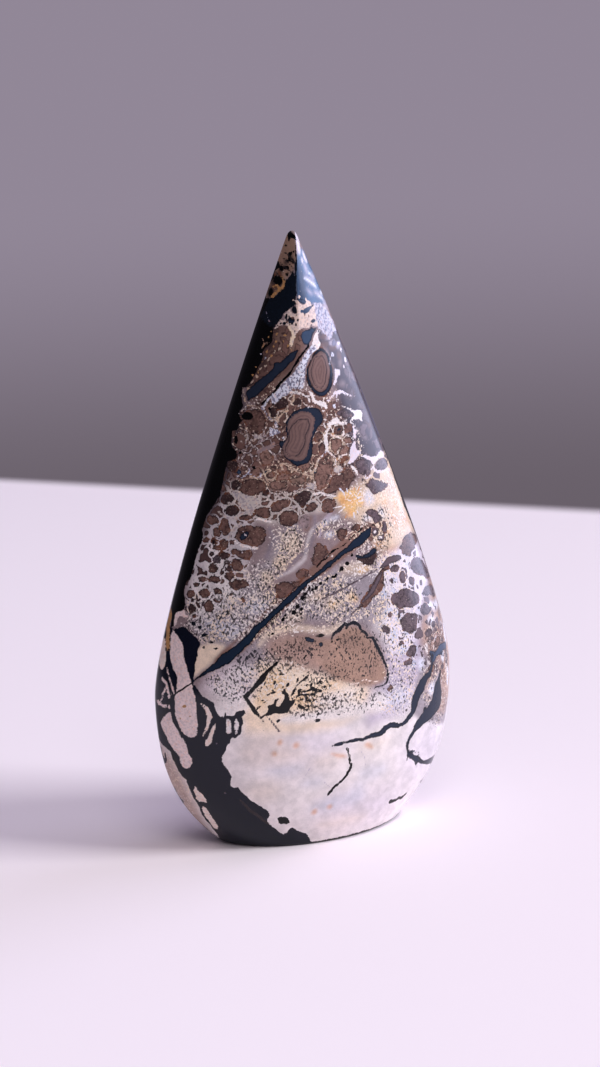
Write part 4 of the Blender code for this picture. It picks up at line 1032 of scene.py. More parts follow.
def creamVeins():
    # pale veins between the cells, then the larger pale patches
    for mineral, half, knots in (
        ("greyCream", 0.25, (-18.2, 62.3, -17.3, 61.5, -16.2, 61.1, -15.2, 61.2, -14.5, 61.8, -13.8, 62.3,
            -12.8, 62.2, -12.1, 61.9)),
        ("greyCream", 0.28, (-16.7, 58, -16.2, 59, -15.4, 59.7, -14.4, 60.4)),
        ("greyCream", 0.2, (-16.6, 64, -15.6, 63.6)),
        ("cream", 0.26, (-15.6, 57.2, -14.4, 56.6, -13, 56.2, -12, 56.1)),
        ("blueWhite", 0.16, (-14.5, 68.6, -13.6, 68.3, -12.5, 69, -11.9, 68.9, -11.1, 68.4, -10.4, 68.3,
            -10.1, 69.1)),
        ("blueWhite", 0.14, (-12.5, 69, -12.1, 69.7)),
        ("sand", 0.14, (-10.2, 68.1, -9.4, 67.4, -8.9, 66.9)),
        ("cream", 0.25, (-11.9, 61.2, -11.2, 61.2, -10.2, 60.8, -9.2, 60.6)),
        ("greyCream", 0.2, (-8.2, 64.2, -7.7, 65, -7, 64.6, -6.2, 64.5, -5.2, 64.4)),
        ("greyCream", 0.16, (-8.5, 62, -7.4, 61.9, -6.2, 62.6, -5.1, 63, -4.5, 62.5)),
        ("sand", 0.14, (-7.9, 67.9, -7.5, 67.4, -6.5, 67.4)),
        ("sand", 0.18, (-6.9, 70.7, -5.6, 70.5, -4.8, 70, -4, 69.3, -3, 68.7, -2, 68.3, -1.4, 68.3,
            -0.9, 68.8, -0.2, 69.4, 0, 70.2, 0.2, 70.8)),
        ("sand", 0.15, (-1.5, 68.2, -1.3, 67.5)), ("sand", 0.18, (-6.4, 70.1, -6.2, 69.4)),
        ("greyCream", 0.18, (-4.6, 65.5, -3.6, 65.8, -2.6, 66, -1.6, 65.9, -0.9, 65.6)),
        ("cream", 0.22, (-0.9, 64.8, 0, 64.9, 0.9, 64.6, 2, 64.2, 2.9, 63.9)),
        ("greyCream", 0.24, (-5, 62.8, -4.2, 63.2, -3.8, 62.6, -3.4, 61.5)),
        ("greyCream", 0.22, (-2.4, 63.4, -1.2, 63.9, -0.3, 62.8, -0.2, 61.9)),
        ("cream", 0.16, (2.1, 67.1, 2.6, 67.6)),
        ("cream", 0.24, (7.2, 68.6, 7.6, 68, 8.2, 67.3, 8.4, 66.8)),
        ("pinkWhite", 0.22, (12, 67.2, 12.9, 67.5, 13.1, 66.8, 14.5, 66.4, 17, 66.2, 18.5, 66)),
        ("pinkWhite", 0.2, (10.1, 66.6, 10.2, 66, 11, 66.1, 12, 66.3)),
        ("cream", 0.14, (3.4, 74.6, 4.4, 74.3, 5.2, 73.9, 6.2, 74.3, 7.5, 73.8, 8.3, 73.2)),
        ("cream", 0.14, (6.1, 76.2, 6.3, 75.2, 6, 74.3)), ("cream", 0.13, (4.7, 70.7, 6.3, 70.8)),
        ("sand", 0.13, (1, 73.6, -0.4, 73.7)), ("blueWhite", 0.16, (1, 71.2, 1.9, 71.9)),
        ("cream", 0.14, (1.9, 71.9, 1, 71.2, 0.2, 70.6, 0, 70, -0.3, 69.2)),
        ("cream", 0.16, (2.3, 71.8, 2.9, 71.2, 3.5, 70.7, 3.9, 70.2, 3.6, 69.3)),
        ("cream", 0.32, (-0.2, 82.2, 0.3, 81, 1.3, 80.3, 2, 79.9)),
        ("cream", 0.22, (-4, 82.7, -2.8, 82.6, -2, 82.3, -1.2, 81.8, -0.7, 81.3, -0.6, 80.9)),
        ("sand", 0.15, (-3.5, 82, -3.6, 81.2, -4.6, 80.3, -4.6, 79.6, -5.8, 78.9, -6.4, 78.2, -6.8, 77.5)),
        ("blueWhite", 0.2, (-7, 82.4, -7.9, 81.6, -8.4, 80.8, -9.2, 80.1, -8.8, 79.5, -8.2, 78.7,
            -7.5, 78.1, -6.9, 77.6, -6.8, 76.9)),
        ("sand", 0.17, (-12.7, 83.4, -12.6, 82.4, -12.4, 81.5, -11.8, 80.7, -11.2, 80.4, -10.5, 80.5)),
        ("greyCream", 0.15, (-13.2, 79.4, -12.8, 79.8, -12.3, 80)),
        ("beige", 0.14, (-8.8, 90.1, -7.9, 90.9, -7.2, 91.2)), ("beige", 0.13, (-8.2, 91.8, -7.9, 90.9)),
        ("warmCream", 0.3, (-3, 93.9, -2.6, 93, -2.4, 92.2, -2.9, 91.5, -3, 90.8)),
        ("goldBeige", 0.26, (-3.5, 102.3, -3, 101.6, -3.5, 100.6, -4.2, 100.2, -5, 99.6, -5.8, 98.9)),
        ("goldBeige", 0.22, (-5.3, 100.6, -4.6, 100.8, -4.2, 100.2)),
        ("violetSlate", 0.1, (-7.2, 96.3, -6.9, 95.4, -6.6, 94.7)),
        ("pinkWhite", 0.16, (14, 47.8, 15.4, 47.9, 15.6, 46.4, 14.8, 45.8)),
    ):
        lights.vein(mineral, *knots, half=half)
    lights.vein("cream", (3.2, 76.8, 0.2), (3.1, 76, 0.15), (2.5, 75.3, 0.2), (2.2, 74.6, 0.35),
        (2, 73.5, 0.45), (2.1, 72.5, 0.35), (1.9, 71.9, 0.2))
    lights.vein("pinkWhite", (4.6, 81.2, 0.15), (5.2, 81.6, 0.35), (6, 81.5, 0.4), (7.3, 81.4, 0.35),
        (8.4, 80.9, 0.25), (9.3, 80.6, 0.15), (11.3, 80.3, 0.05))
    lights.vein("pinkWhite", (5.5, 81, 0.2), (5.4, 80.2, 0.15))
    lights.spots("goldBeige", (3.7, 74.7, 0.3), (4, 70.3, 0.3))
    fines.vein("slateBrown", 10.4, 49.9, 8, 49.1, 5, 48.2, 2, 47.3, -1, 46.3, half=0.2)
    fines.vein("slateBrown", 5.6, 43.7, 4.4, 42.9, half=0.2)
    darks.spots("black", (1.6, 50, 0.5, 0.3, 10), (3.1, 50.9, 0.5, 0.22, 30), (4.3, 51.8, 0.45, 0.25, 20),
        (0.2, 49.6, 0.3))
    fines.vein("umber", -13.4, 26.4, -12.7, 25.4, half=0.2)
    fines.vein("slateBrown", -12, 26.4, -11.1, 25, -10.1, 23.4, half=0.2)
    fines.vein("umber", (-17, 10.5, 0.2), (-15, 8.3, 0.35), (-13, 6.5, 0.3), (-11.5, 5.2, 0.2))
    fines.spots("navy", (-11, 33.1, 0.3, 0.2), (-10.5, 32.6, 0.25), (-12.3, 32.5, 0.2, 0.4),
        (-10.1, 32, 0.3, 0.22), (-9.2, 31.5, 0.2, 0.4, -30), (-10.9, 31.1, 0.25, 0.45, 30),
        (-11.8, 30.4, 0.4, 0.22), (-10.7, 30.6, 0.4, 0.2), (-13.2, 31, 0.2, 0.3), (-13.6, 29.5, 0.2),
        (-12.6, 29, 0.35, 0.18), (-12, 29.4, 0.22), (-9.5, 33, 0.2), (-10.1, 25.4, 0.45, 0.22, 35),
        (-3, 24.6, 0.6, 0.28, 5), (-17.8, 31.8, 0.25), (-17, 31.3, 0.2), (-16.4, 31.5, 0.22),
        (-17, 33.4, 0.25, 0.18, 30))
    for spoke in range(17):  # needles round the yellow patch
        turn, near, far = spoke * 2.4, 1.5 + spoke % 4 * 0.35, 2.7 + spoke % 5 * 0.3
        knots = [(6.3 + reach * math.cos(turn), 62.4 + reach * math.sin(turn) * 0.85)
                 for reach in (near, far)]
        fines.vein(("cream", "yellow", "blueWhite", "orange")[spoke % 4], *knots, half=0.17)
    for knots in (
        (-2.4, 106.4, -1.5, 105.7, -0.8, 104.8), (-3, 105.5, -2, 104.8, -1.1, 103.7),
        (-3.5, 104.5, -2.5, 103.8, -1.5, 102.8), (-4.6, 103, -3.6, 102.2, -2.8, 101.6),
    ):
        fines.vein("umber", *knots, half=0.18)
    for mineral, size, beads in (
        ("sand", (0.4, 0.2, 40), (-5.2, 90.1, -6.1, 89.7, -7.3, 88.5, -7.9, 87.3, -9, 86.7, -9.8, 85.4,
            -10.8, 84.5, -11.6, 83.4)),
        ("goldBeige", (0.24, 0.2, 60), (-6.8, 89, -9.5, 86.1, -6.2, 90.7, -7.6, 89.6, -8.6, 88,
            -5.6, 91.4, -4.4, 91.3, -9.9, 87, -7, 92.1, -3.6, 90.6, -4, 92.4, -5.4, 92.6, -10.8, 85.6,
            -8.2, 90.6, -3, 89.9, -6.5, 93)),
    ):
        lights.spots(mineral, *((*spot, *size) for spot in np.reshape(beads, (-1, 2))))
    lights.spots("blueWhite", (4.7, 79.4, 0.45), (6.2, 88.1, 0.5, 0.4), (5.4, 87.4, 0.2, 0.3),
        (5.1, 86.8, 0.15, 0.25), (-2.6, 80.3, 0.3), (-0.8, 79.9, 0.2), (-5.7, 74.8, 0.3), (-8.8, 89.2, 0.2),
        (-8, 88.6, 0.2))
    lights.spots("pinkWhite", (9, 89.7, 0.6, 0.35), (9.3, 88.5, 0.4), (10.2, 86.7, 0.4, 0.5),
        (9.1, 85.6, 0.3), (3.4, 80.6, 0.5, 0.2), (4.2, 81, 0.4, 0.15, 30), (5.4, 71.9, 0.14),
        (7, 72.3, 0.14))
    lights.patch("pinkWhite", 6, 85.7, 7.2, 85.6, 7.7, 85, 7.4, 84.3, 6.6, 84.2, 6.2, 83.3, 5.4, 83,
        5, 83.2, 5.3, 83.6, 5.8, 83.9, 5.9, 84.8)
    lights.patch("cream", 0.2, 80.9, 1.3, 80.9, 2.4, 80.6, 3.1, 79.8, 3, 79.1, 2.4, 79.2, 1.5, 80,
        0.9, 80.5)
    lights.patch("cream", 6.2, 79.3, 7.2, 79.2, 8, 78.7, 9, 78.3, 9.9, 77.9, 11.2, 77.8, 12.4, 77.2,
        12.2, 76.6, 11.6, 76.2, 12, 75.5, 11.2, 75.9, 10.7, 76.2, 9.8, 76.3, 8.6, 76.2, 8.4, 76.6, 9.3, 77,
        9.6, 77.4, 8.6, 78, 7.2, 78.9)
    lights.patch("cream", 4.2, 77.5, 4.9, 77.4, 5.5, 77.1, 5.4, 76.7, 6.2, 76.4, 7.3, 76.2, 7.5, 75.8,
        6.2, 75.9, 5.2, 76.2, 4.2, 76.3, 3.3, 76.2, 2.8, 76.3, 3, 77, 3.6, 76.9)
    lights.patch("pinkWhite", 8.3, 75.4, 8.9, 75.5, 9.1, 74.8, 9.9, 74.3, 9.2, 73.9, 9.2, 73.1, 8.3, 73.4,
        8.6, 74.2, 8.6, 74.8)
    lights.patch("pinkWhite", 8.2, 72.9, 8.9, 72.8, 8.8, 72.2, 8.7, 71.3, 9.6, 70.9, 10.3, 70.6, 9.4, 70.2,
        8.7, 69.7, 8, 69.2, 6.8, 69, 6, 69.2, 6.8, 69.6, 7, 70.2, 6.9, 70.8, 7.3, 71.6, 7.6, 72.1)
    lights.patch("pinkWhite", 9.4, 70.1, 10.8, 70.1, 12, 69.5, 13, 69.2, 14.5, 69.3, 16, 69.9, 17.3, 69.6,
        17.8, 69, 17, 68.5, 15, 68.7, 14, 68.3, 13, 67.8, 12.4, 68.1, 12.2, 68.8, 10.8, 69.4)
    lights.patch("greyCream", -15.8, 66, -14, 65.7, -12.6, 65.2, -11, 64.9, -10.2, 64, -11.2, 63.3,
        -12, 62.3, -13.2, 62.6, -14.5, 63.3, -14.8, 64.6, -15.6, 65)
    lights.patch("greyCream", -2.5, 66.5, -1.6, 67, -0.6, 66.5, -0.1, 66.1, -0.9, 65.5, -1.6, 65.9)
    lights.patch("greyCream", 3.2, 68.9, 4, 69.1, 5, 68.9, 4.8, 68.2, 4.2, 67.9, 3.2, 68.1)
    lights.patch("blueWhite", -8.1, 76.9, -7.4, 76.7, -6.5, 76.2, -5.9, 75.7, -7, 75.7, -7.8, 75.1,
        -8.3, 75.4, -8, 76.2)
    lights.patch("lavender", -10.8, 72.4, -10, 73.2, -9, 73.6, -8, 74, -7.3, 74.5, -7.2, 73.7, -7.9, 73,
        -9, 72.9, -9.8, 72.3)
    lights.spots("greyCream", (-10.2, 75.2, 0.9, 0.35))
    for knots in (
        (-13.6, 76.2, -12.6, 75.4, -11.6, 74.8, -10.6, 74.6),
        (-12.4, 76.4, -12, 75.2, -12.6, 74.2, -12.2, 73.2),
        (-11, 76.2, -10.4, 75.4, -9.6, 74.6, -9.6, 73.8), (-13.4, 74.4, -12.6, 74.2),
        (-11.6, 73.8, -10.8, 73.4, -10.6, 72.6), (-13, 73, -12.2, 72.2, -11.4, 72),
        (-9.2, 76.4, -9, 75.6, -8.4, 74.8),
    ):
        lights.vein("greyCream", *knots, half=0.15)
    lights.vein("pinkWhite", -14.1, 59.2, -13.9, 58.6, -13.5, 58.2, half=0.14)


def slateAndTip():
    # slate strip and the beaded pale band beside it
    darks.patch("deepSlate", -1.7, 90.1, -2, 89.4, -2.6, 88.4, -3.6, 87.6, -4.6, 86.6, -5.6, 86, -6.3, 85.1,
        -7.6, 84.2, -8.6, 83.3, -10, 82, -11.4, 81.3, -11.9, 81.4, -12, 82, -12.3, 82.8, -11.3, 83.3,
        -10.4, 84.2, -9.2, 85, -8, 85.8, -6.9, 86.6, -6.4, 87.3, -6.3, 88, -5.2, 88, -4.2, 88.8, -3.4, 89.5,
        -2.6, 89.9)
    lights.patch("blueWhite", 1, 90.3, -0.2, 89.4, -1, 88.7, -1.6, 87.9, -2.4, 87, -2.9, 86.1, -3.6, 85.6,
        -4.6, 84.6, -5.6, 83.7, -6.2, 83, -7, 82.4, -7.5, 81.2, -6.9, 80.8, -6.2, 81.2, -5.6, 81.8,
        -4.6, 82.2, -3.6, 83.4, -2.4, 83.1, -1.4, 83.2, -1.3, 84, -1.1, 85, -1, 86.2, -0.4, 87.3, 0.2, 88.3,
        0.8, 88.8, 2, 89.3, 2.8, 89.9, 3.5, 90.2, 3.3, 91, 1.6, 91.2)
    darks.vein("black", 0.3, 90.3, -1.2, 89.1, -2.2, 88.1, -3.2, 86.5, -4.4, 85.3, -5.5, 84.1, -6.6, 82.9,
        -8, 81.8, -9, 80.7, half=0.24)
    fines.spots("slate", (-0.6, 88.2, 0.2, 0.12, 45), (-1.6, 86.6, 0.25, 0.12, 45),
        (-2.4, 84.8, 0.3, 0.12, 40), (-3.8, 84.2, 0.25, 0.14, 45), (-5.2, 82.9, 0.3, 0.12, 45),
        (0.6, 89.7, 0.3, 0.12, 30), (-1.8, 85.4, 0.15), (-1.3, 87.4, 0.2, 0.1, 60),
        (1.8, 90.3, 0.4, 0.14, 10), (-6.2, 81.9, 0.2))
    fines.vein("slateBrown", -2, 85, -2.3, 83.7, -2.9, 82.8, half=0.12)
    darks.patch("slate", -1.3, 91.8, -1.2, 92.3, -0.4, 93, 1, 93.1, 1.2, 93.6, 2, 93.3, 3.3, 93.4,
        2.6, 92.8, 1.6, 92.2, 1.3, 91.4, 0.6, 90.9, 0, 90.5, -0.8, 90.6, -1, 91.2)
    lights.patch("tipCream", -6, 93.2, -5.6, 94, -5, 94.6, -4.6, 95.1, -4, 95, -3.6, 95.4, -3.9, 96,
        -3.4, 96.3, -3, 96.6, -2.4, 97.1, -2.3, 96.4, -1.9, 96, -1.5, 96.3, -1.4, 97, -1.4, 97.6, -1.6, 98,
        -2.2, 98.3, -1.9, 98.5, -1.2, 98.2, -0.8, 97.7, 0, 97.4, 0.8, 97.6, 0.9, 98, 0.4, 98.5, 1, 98.4,
        1.6, 98, 2.2, 97.8, 2.4, 97.4, 2, 97.1, 3, 97, 3.6, 96.6, 2.8, 96, 3.8, 95.4, 3, 94.6, 3.9, 94,
        3.4, 93.5, 2, 93.5, 1.2, 93.7, 0.9, 93.2, 0, 93.4, -1, 93.3, -1.6, 92.9, -2.1, 92.4, -2.4, 91.6,
        -2.8, 90.8, -3.1, 91, -2.8, 91.7, -2.4, 92.4, -2.6, 93, -2.9, 93.4, -3, 93.9, -4, 94.1, -5, 93.9,
        smooth=False)
    lights.spots("tipCream", (-0.6, 98.9, 0.35, 0.3))
    lights.patch("tipLace", 3, 97.4, 5, 97.2, 7, 96, 9, 93.4, 9.2, 91.6, 7.6, 91.8, 7, 91, 6, 90.8,
        5.2, 91.6, 4.4, 91.8, 4.2, 92.6, 3.4, 93.2, 3, 94.6, 3.2, 96, smooth=False)
    fines.spots("slate", (0.9, 96.4, 1.1, 0.5, 10), (-0.3, 96.4, 0.4, 0.3), (1.9, 96.7, 0.5, 0.3))
    fines.spots("deepSlate", (-2.6, 94.9, 0.6, 0.5), (-3.4, 95.1, 0.3, 0.2), (-4, 94.4, 0.4, 0.25),
        (-1.4, 94.9, 0.22), (2.2, 94.4, 0.8, 0.3, 10), (1.5, 93.8, 0.3, 0.15), (0.6, 94, 0.15),
        (-0.2, 94, 0.15), (0.8, 94.6, 0.12), (-2.9, 95.8, 0.2), (2.6, 96.9, 0.4, 0.2),
        (3.4, 92.6, 0.5, 0.2, 30))
    for knots in (
        (2.6, 94.2, 3.6, 95, 4.4, 96.2, 5, 97.2), (3.6, 94, 4.8, 95.2, 5.8, 96.6),
        (4.8, 93.2, 5.8, 94.4, 6.6, 95.8), (6, 92.6, 6.9, 94), (7.2, 92.2, 8, 93.4), (5.2, 92.2, 5.8, 93),
    ):
        fines.vein("facetBlue", *knots, half=0.13)
    fines.spots("brown", (-4.6, 93.7, 0.5, 0.16, 10), (-3.4, 94.7, 0.2, 0.45, 20),
        (-2.2, 95.5, 0.35, 0.18, 30), (-1.2, 94.2, 0.35, 0.14, 20), (0.2, 95.6, 0.3, 0.14, 60),
        (1.2, 95.3, 0.16, 0.3), (-0.4, 93.6, 0.3, 0.12))
    fines.spots("navy", (-3.3, 95.8, 0.35, 0.25, 45), (-4.6, 94.4, 0.35, 0.2, 40), (-1.6, 95.9, 0.25, 0.2),
        (-5.2, 94.1, 0.25, 0.15, 30), (-3, 94.2, 0.3, 0.2), (-1.9, 94.2, 0.2, 0.3),
        (-2.2, 93.1, 0.15, 0.25))
    lights.patch("cream", 1.4, 91.2, 2, 92, 2.8, 92.7, 3.6, 93, 3.9, 92.6, 3.2, 92.2, 3, 91.6, 3.2, 91,
        3.6, 90.4, 3, 89.8, 2.2, 89.4, 1.4, 89.2, 0.5, 89.5, 1, 90.3)
    # navy facet under the tip
    darks.patch("navy", -1, 103.6, -1.9, 102.6, -2.7, 101.8, -3.6, 100.7, -4.6, 99.8, -5.2, 99, -6, 98.6,
        -12, 98, -12, 92, -6.1, 93.3, -5, 94.6, -4.3, 95.3, -3.8, 96, -2.4, 97, -1.2, 97.6, -1.5, 98.4,
        -1, 99.4)
    darks.vein("navy", (0, 107.5, 0.15), (-0.2, 106, 0.2), (-0.6, 104, 0.22), (-0.9, 102, 0.2),
        (-1.2, 99.6, 0.15))
    darks.patch("black", -0.4, 110.4, 0.2, 109, 0.5, 108.6, 0.3, 108.2, -0.3, 108.9, -0.8, 108.8,
        -1.2, 108.1, -1.4, 109, -0.9, 110)
    darks.vein("black", (-1, 106.4, 0.2), (-1.5, 106, 0.25), (-1.7, 105.3, 0.2), (-1.3, 104.6, 0.15))
    darks.spots("black", (-1.9, 107.5, 0.25), (-0.6, 106.4, 0.3), (-2.2, 105, 0.4, 0.3),
        (-1, 105, 0.35, 0.5), (-3.4, 103.7, 0.55), (-2.3, 103.8, 0.6, 0.4), (-4.3, 101.7, 1, 0.9),
        (-2.4, 102.7, 0.35), (-6, 99.6, 0.5, 0.8))
    fines.spots("navy", (-1.8, 96.7, 0.5, 0.55), (-2.6, 95, 0.7, 0.5), (-2.5, 94.3, 0.25),
        (-3.9, 94.4, 0.35), (-3.5, 95.4, 0.3), (-1.4, 95, 0.25))
    darks.vein("slate", (-1, 98.3, 0.3), (0, 97.9, 0.4), (1, 97.6, 0.25))
    darks.spots("slate", (2.2, 94.5, 0.7, 0.4, 20))
    darks.spots("violetSlate", (7.2, 90, 0.7, 0.5), (8.6, 92, 0.6, 0.8), (9.2, 94, 0.4, 0.5))


def leftBand():
    # the black side of the stone; its edge is ragged where it meets the cells
    darks.patch("black", -6, 98.6, -6, 93.3, -6.2, 92, -6.7, 91, -7.4, 90.4, -8.2, 89.6, -8.5, 88.4,
        -9.4, 87, -10.2, 85.6, -11, 84.6, -12, 83.6, -12.9, 83.3, -13, 82, -12.8, 81, -12.7, 80.2,
        -13.4, 79.4, -13.4, 78.4, -12.8, 77.9, -13.8, 77.3, -14, 76.3, -15, 76, -15.2, 75, -15.4, 74,
        -15, 73.3, -14.2, 72.8, -14, 71.8, -14.8, 71.2, -16, 71, -16.4, 70, -16.8, 69, -16.9, 68, -17.4, 67,
        -17.6, 66, -17.8, 65, -18.5, 64.5, -19.2, 63.5, -19.6, 62.8, -20.3, 62, -20.9, 61, -21.4, 60,
        -21.7, 59, -21.6, 58, -22, 57, -22.6, 56, -23, 55, -23.4, 54, -23.7, 53, -24.1, 52, -24.6, 51,
        -25.8, 49.8, -26, 48.5, -25.9, 47.3, -26, 46.3, -26.2, 45.3, -27, 44.9, -28, 44.5, -28.5, 43,
        -28.6, 42, -28.2, 41.7, -29.6, 41.8, -29.4, 44.4, -30.4, 46, -36, 48, -37, 56, -33, 64, -28, 74,
        -22, 84, -16, 92, -10, 99, smooth=False)


cellsOfFront()
orbsOfFront()
leftBand()
slateAndTip()
creamVeins()
print("cells and tip drawn")


def paintBack():
    # the same minerals run on round the back
    for wash in (ground, worms, flecks, packed, packedMineral):
        wash.on("back")
    ground.area("cream", 1, 3, -38, -3, 38, -3, 38, 20, 22, 24, 10, 22, -6, 27, -20, 22, -38, 26)
    ground.area("ash", 0.9, 2, -38, 26, -10, 28, 4, 24, 20, 26, 30, 44, 14, 56, -8, 50, -38, 50)
    ground.area("lightBrown", 0.95, 2, -14, 52, 10, 60, 10, 78, 3, 88, -5, 87, -12, 70)
    ground.area("dusk", 0.9, 2, -22, 66, -14, 62, -8, 76, -6, 88, -12, 92, -20, 84)
    ground.area("fog", 0.9, 2, -24, 52, -12, 50, -9, 60, -14, 66, -26, 64)
    ground.pools("yellow", 0.7, 1.2, (-14, 48, 3, 1.6, 20), (6, 33, 3, 1.2, -20), (-19, 57, 2, 1.2))
    ground.pools("rose", 0.8, 1.5, (-20, 34, 5, 5), (12, 40, 5, 3), (-2, 44, 4, 2, 20))
    ground.pools("paleLavender", 0.4, 2, (0, 14, 6, 2), (-14, 12, 5, 1.5, 20), (16, 16, 4, 2))
    ground.pools("warmCream", 0.5, 1.5, (-6, 20, 5, 1), (10, 8, 5, 1.4, 20), (-20, 18, 3, 2),
        (-4, 5, 4, 1, -10))
    ground.pools("orange", 0.45, 0.6, (-8, 18, 0.6), (3, 12, 0.9, 0.4, 20), (11, 19, 0.6, 0.4),
        (-15, 8, 0.7, 0.4, -30))
    ground.area("cream", 0.95, 0.8, -6, 88, -1, 89.6, 5, 91, 2, 95.4, 0.4, 98, -3.4, 95, -6, 92)
    ground.area("beige", 0.95, 0.5, -6, 103, -3, 98.4, -1, 100, 1.6, 98, 4, 104, 3, 111, -4, 111)
    ground.pools("umber", 0.8, 0.4, (-1.6, 102.6, 0.8, 0.7), (0.8, 104, 0.5, 0.9), (1.4, 100.4, 0.6, 0.5))
    worms.pools(0.9, 1, 2, (0, 40, 20, 10), (-20, 46, 9, 9), (-16, 58, 7, 6))
    worms.pools(0.75, 1, 2, (0, 70, 10, 15))
    worms.pools(0, 1, 2, (0, 10, 34, 8))
    flecks.pools(0.85, 1, 2, (-2, 33, 14, 4), (8, 44, 10, 7), (-20, 40, 8, 6), (-16, 58, 6, 5))
    flecks.pools(0.3, 1, 2, (-12, 44, 4, 3), (2, 50, 4, 2))
    flecks.pools(0, 1, 2, (0, 10, 34, 7))

    packed.area(1, 0.95, 1.2, -15, 52, -18, 62, -8, 66, -10, 82, -5, 88, 3, 88, 6, 80, 14, 64, 22, 56,
        20, 48, 10, 54, -4, 57)
    packed.area(1, 0.85, 1.2, -38, 34, -38, 50, -18, 54, -13, 49, -16, 40, -24, 34)
    packed.area(1, 0.9, 1, 18, 26, 14, 30, 16, 38, 22, 44, 30, 40, 28, 28)
    packedMineral.area("slateBrown", 1, 1.5, -40, 32, -40, 56, -18, 58, -10, 46, -16, 32)
    packedMineral.area("deepBrown", 0.7, 1.5, 8, 44, 6, 60, 18, 66, 28, 56, 26, 44)

    for layer in (cells, darks, lights, fines):
        layer.on("back")
    random = np.random.default_rng(5)
    for mineral, count, low, high, size in (
        ("brown", 70, (-13, 50), (13, 66), 1.3), ("slateBrown", 34, (-26, 34), (-10, 56), 1.3),
        ("lightBrown", 44, (-9, 64), (8, 80), 1.2), ("deepBrown", 30, (4, 46), (24, 64), 1.1),
        ("slateBrown", 14, (14, 24), (27, 38), 1.2), ("brown", 22, (-4, 78), (5, 88), 0.9),
    ):
        for _ in range(count):
            across, up = random.uniform(low, high)
            wide, tall = size * random.uniform(0.55, 1.25, 2)
            cells.spots(mineral, (across, up, wide, tall, random.uniform(0, 90)))
    darks.vein("navy", (22, 58, 0.5), (16, 53, 0.7), (9, 47, 0.9), (2, 42.5, 0.7), (-4, 38, 0.5),
        (-10, 35, 0.6), (-17, 30, 0.9), (-24, 27, 0.7), (-33, 25, 0.5))
    darks.vein("black", (-4, 38, 0.3), (-6, 43, 0.4), (-9, 46, 0.3), (-11, 50, 0.15))
    darks.vein("deepSlate", (-30, 17, 0.9), (-24, 14, 0.6), (-19, 15, 0.5), (-14, 18.5, 0.5),
        (-9, 17.5, 0.35), (-5, 14, 0.3), (-3, 10.5, 0.15))
    darks.vein("black", (4, 18, 0.15), (6, 15, 0.35), (5.4, 11.6, 0.3), (7, 8.4, 0.15))
    darks.patch("slate", -3, 90, -1, 92, 2, 91.4, 3, 88.4, 1, 85.6, -1.6, 87)
    darks.patch("softBlack", 34, 44, 26, 40, 23, 35, 21.6, 28, 23.4, 24, 21.8, 19, 22.6, 13, 19, 8, 16, 3,
        14, -3, 30, -3, 36, 20, smooth=False)
    darks.patch("black", 36, 40, 30, 46, 27.6, 47, 26.4, 49, 24, 50, 22.4, 52.6, 19.4, 54.4, 19, 57,
        16.8, 60, 17, 63, 15, 65.6, 15.4, 68.4, 13, 71, 13.2, 74, 11, 76, 10.8, 80, 9, 82.6, 9.2, 86, 7, 88,
        6.4, 91.6, 4.6, 94, 3.8, 98, 2.4, 100.6, 2.6, 103.4, 4, 105, 12, 99, 24, 84, 36, 62, smooth=False)
    darks.patch("flankSlate", -12, 92, -8, 90, -7.4, 86, -9, 82.4, -8.8, 79, -11, 75.6, -13.6, 73, -15, 75,
        -18, 76, -18, 84)
    lights.patch("lens", 25.5, 36, 27.6, 34, 28.4, 29, 27.6, 24, 25.8, 22.6, 25, 27, 24.4, 31)
    lights.patch("lens", 26.4, 19, 28, 16.5, 26.6, 11.4, 24.6, 9.4, 24.4, 13, 25.2, 16.6)
    lights.patch("lensPale", 20.5, 12, 21.6, 10, 20, 6, 18.6, 5, 18.8, 8)
    for knots in (
        (-9, 62, -7, 64.5, -4, 65.5, -1, 64.6, 2, 66, 5, 68, 7, 71), (-4, 65.5, -5, 68, -3.4, 71, -5, 74),
        (2, 66, 1.4, 69, 3, 72, 2.4, 75, 4, 78),
        (-11, 57, -8, 57.6, -6, 55.6, -3, 56.6, 0, 59, 3, 58.6, 6, 60.6), (-3, 56.6, -2.4, 53, 0, 51),
        (10, 62, 7, 63.5, 5, 66), (-7, 82, -4, 80, -2, 82, 1, 80.6), (12, 54, 9, 55.6, 6, 54.6, 4, 56),
        (-6, 88, -4, 85, -5, 82),
    ):
        lights.vein("cream", *knots, half=0.22)
    outer = (-3.6, 74, -4, 71.6, -2.8, 69.6, -0.6, 69, 1.2, 70.4, 1.8, 73, 1, 75.6, -1, 76.6, -3, 75.8)
    inner = (-2.9, 73.6, -3.2, 71.8, -2.2, 70.3, -0.6, 69.9, 0.6, 71, 1.1, 73, 0.4, 75, -1, 75.7,
        -2.4, 75.1)
    cells.patch("deepBrown", *outer)
    darks.ring("deepSlate", outer, inner, 0.15)
    lights.patch("heart", *inner)
    scatter = [random.uniform(low, high, 40) for low, high in ((-12, 10), (26, 38), (0, 90))]
    darks.spots("black", *((across, up, 0.25, 0.45, tilt) for across, up, tilt in zip(*scatter)))


paintBack()


def keep(name, *columns):
    # four numbers for each point are a colour, three a vector
    values = np.column_stack(columns).astype(np.float32)
    kind, field = ("FLOAT_COLOR", "color") if values.shape[1] == 4 else ("FLOAT_VECTOR", "vector")
    stone.data.attributes.new(name, kind, "POINT").data.foreach_set(field, values.ravel())


keep("ground", ground.value, np.ones(len(places)))
keep("packed", packedMineral.value, packed.value)
for name, layer in {"cellMineral": cells, "darkMineral": darks, "lightMineral": lights,
                    "fineMineral": fines}.items():
    keep(name, layer.colour)
keep("depths", cells.edge(), darks.depth, lights.depth)
keep("grains", fines.depth, worms.value, flecks.value)
print("markings kept on the mesh")

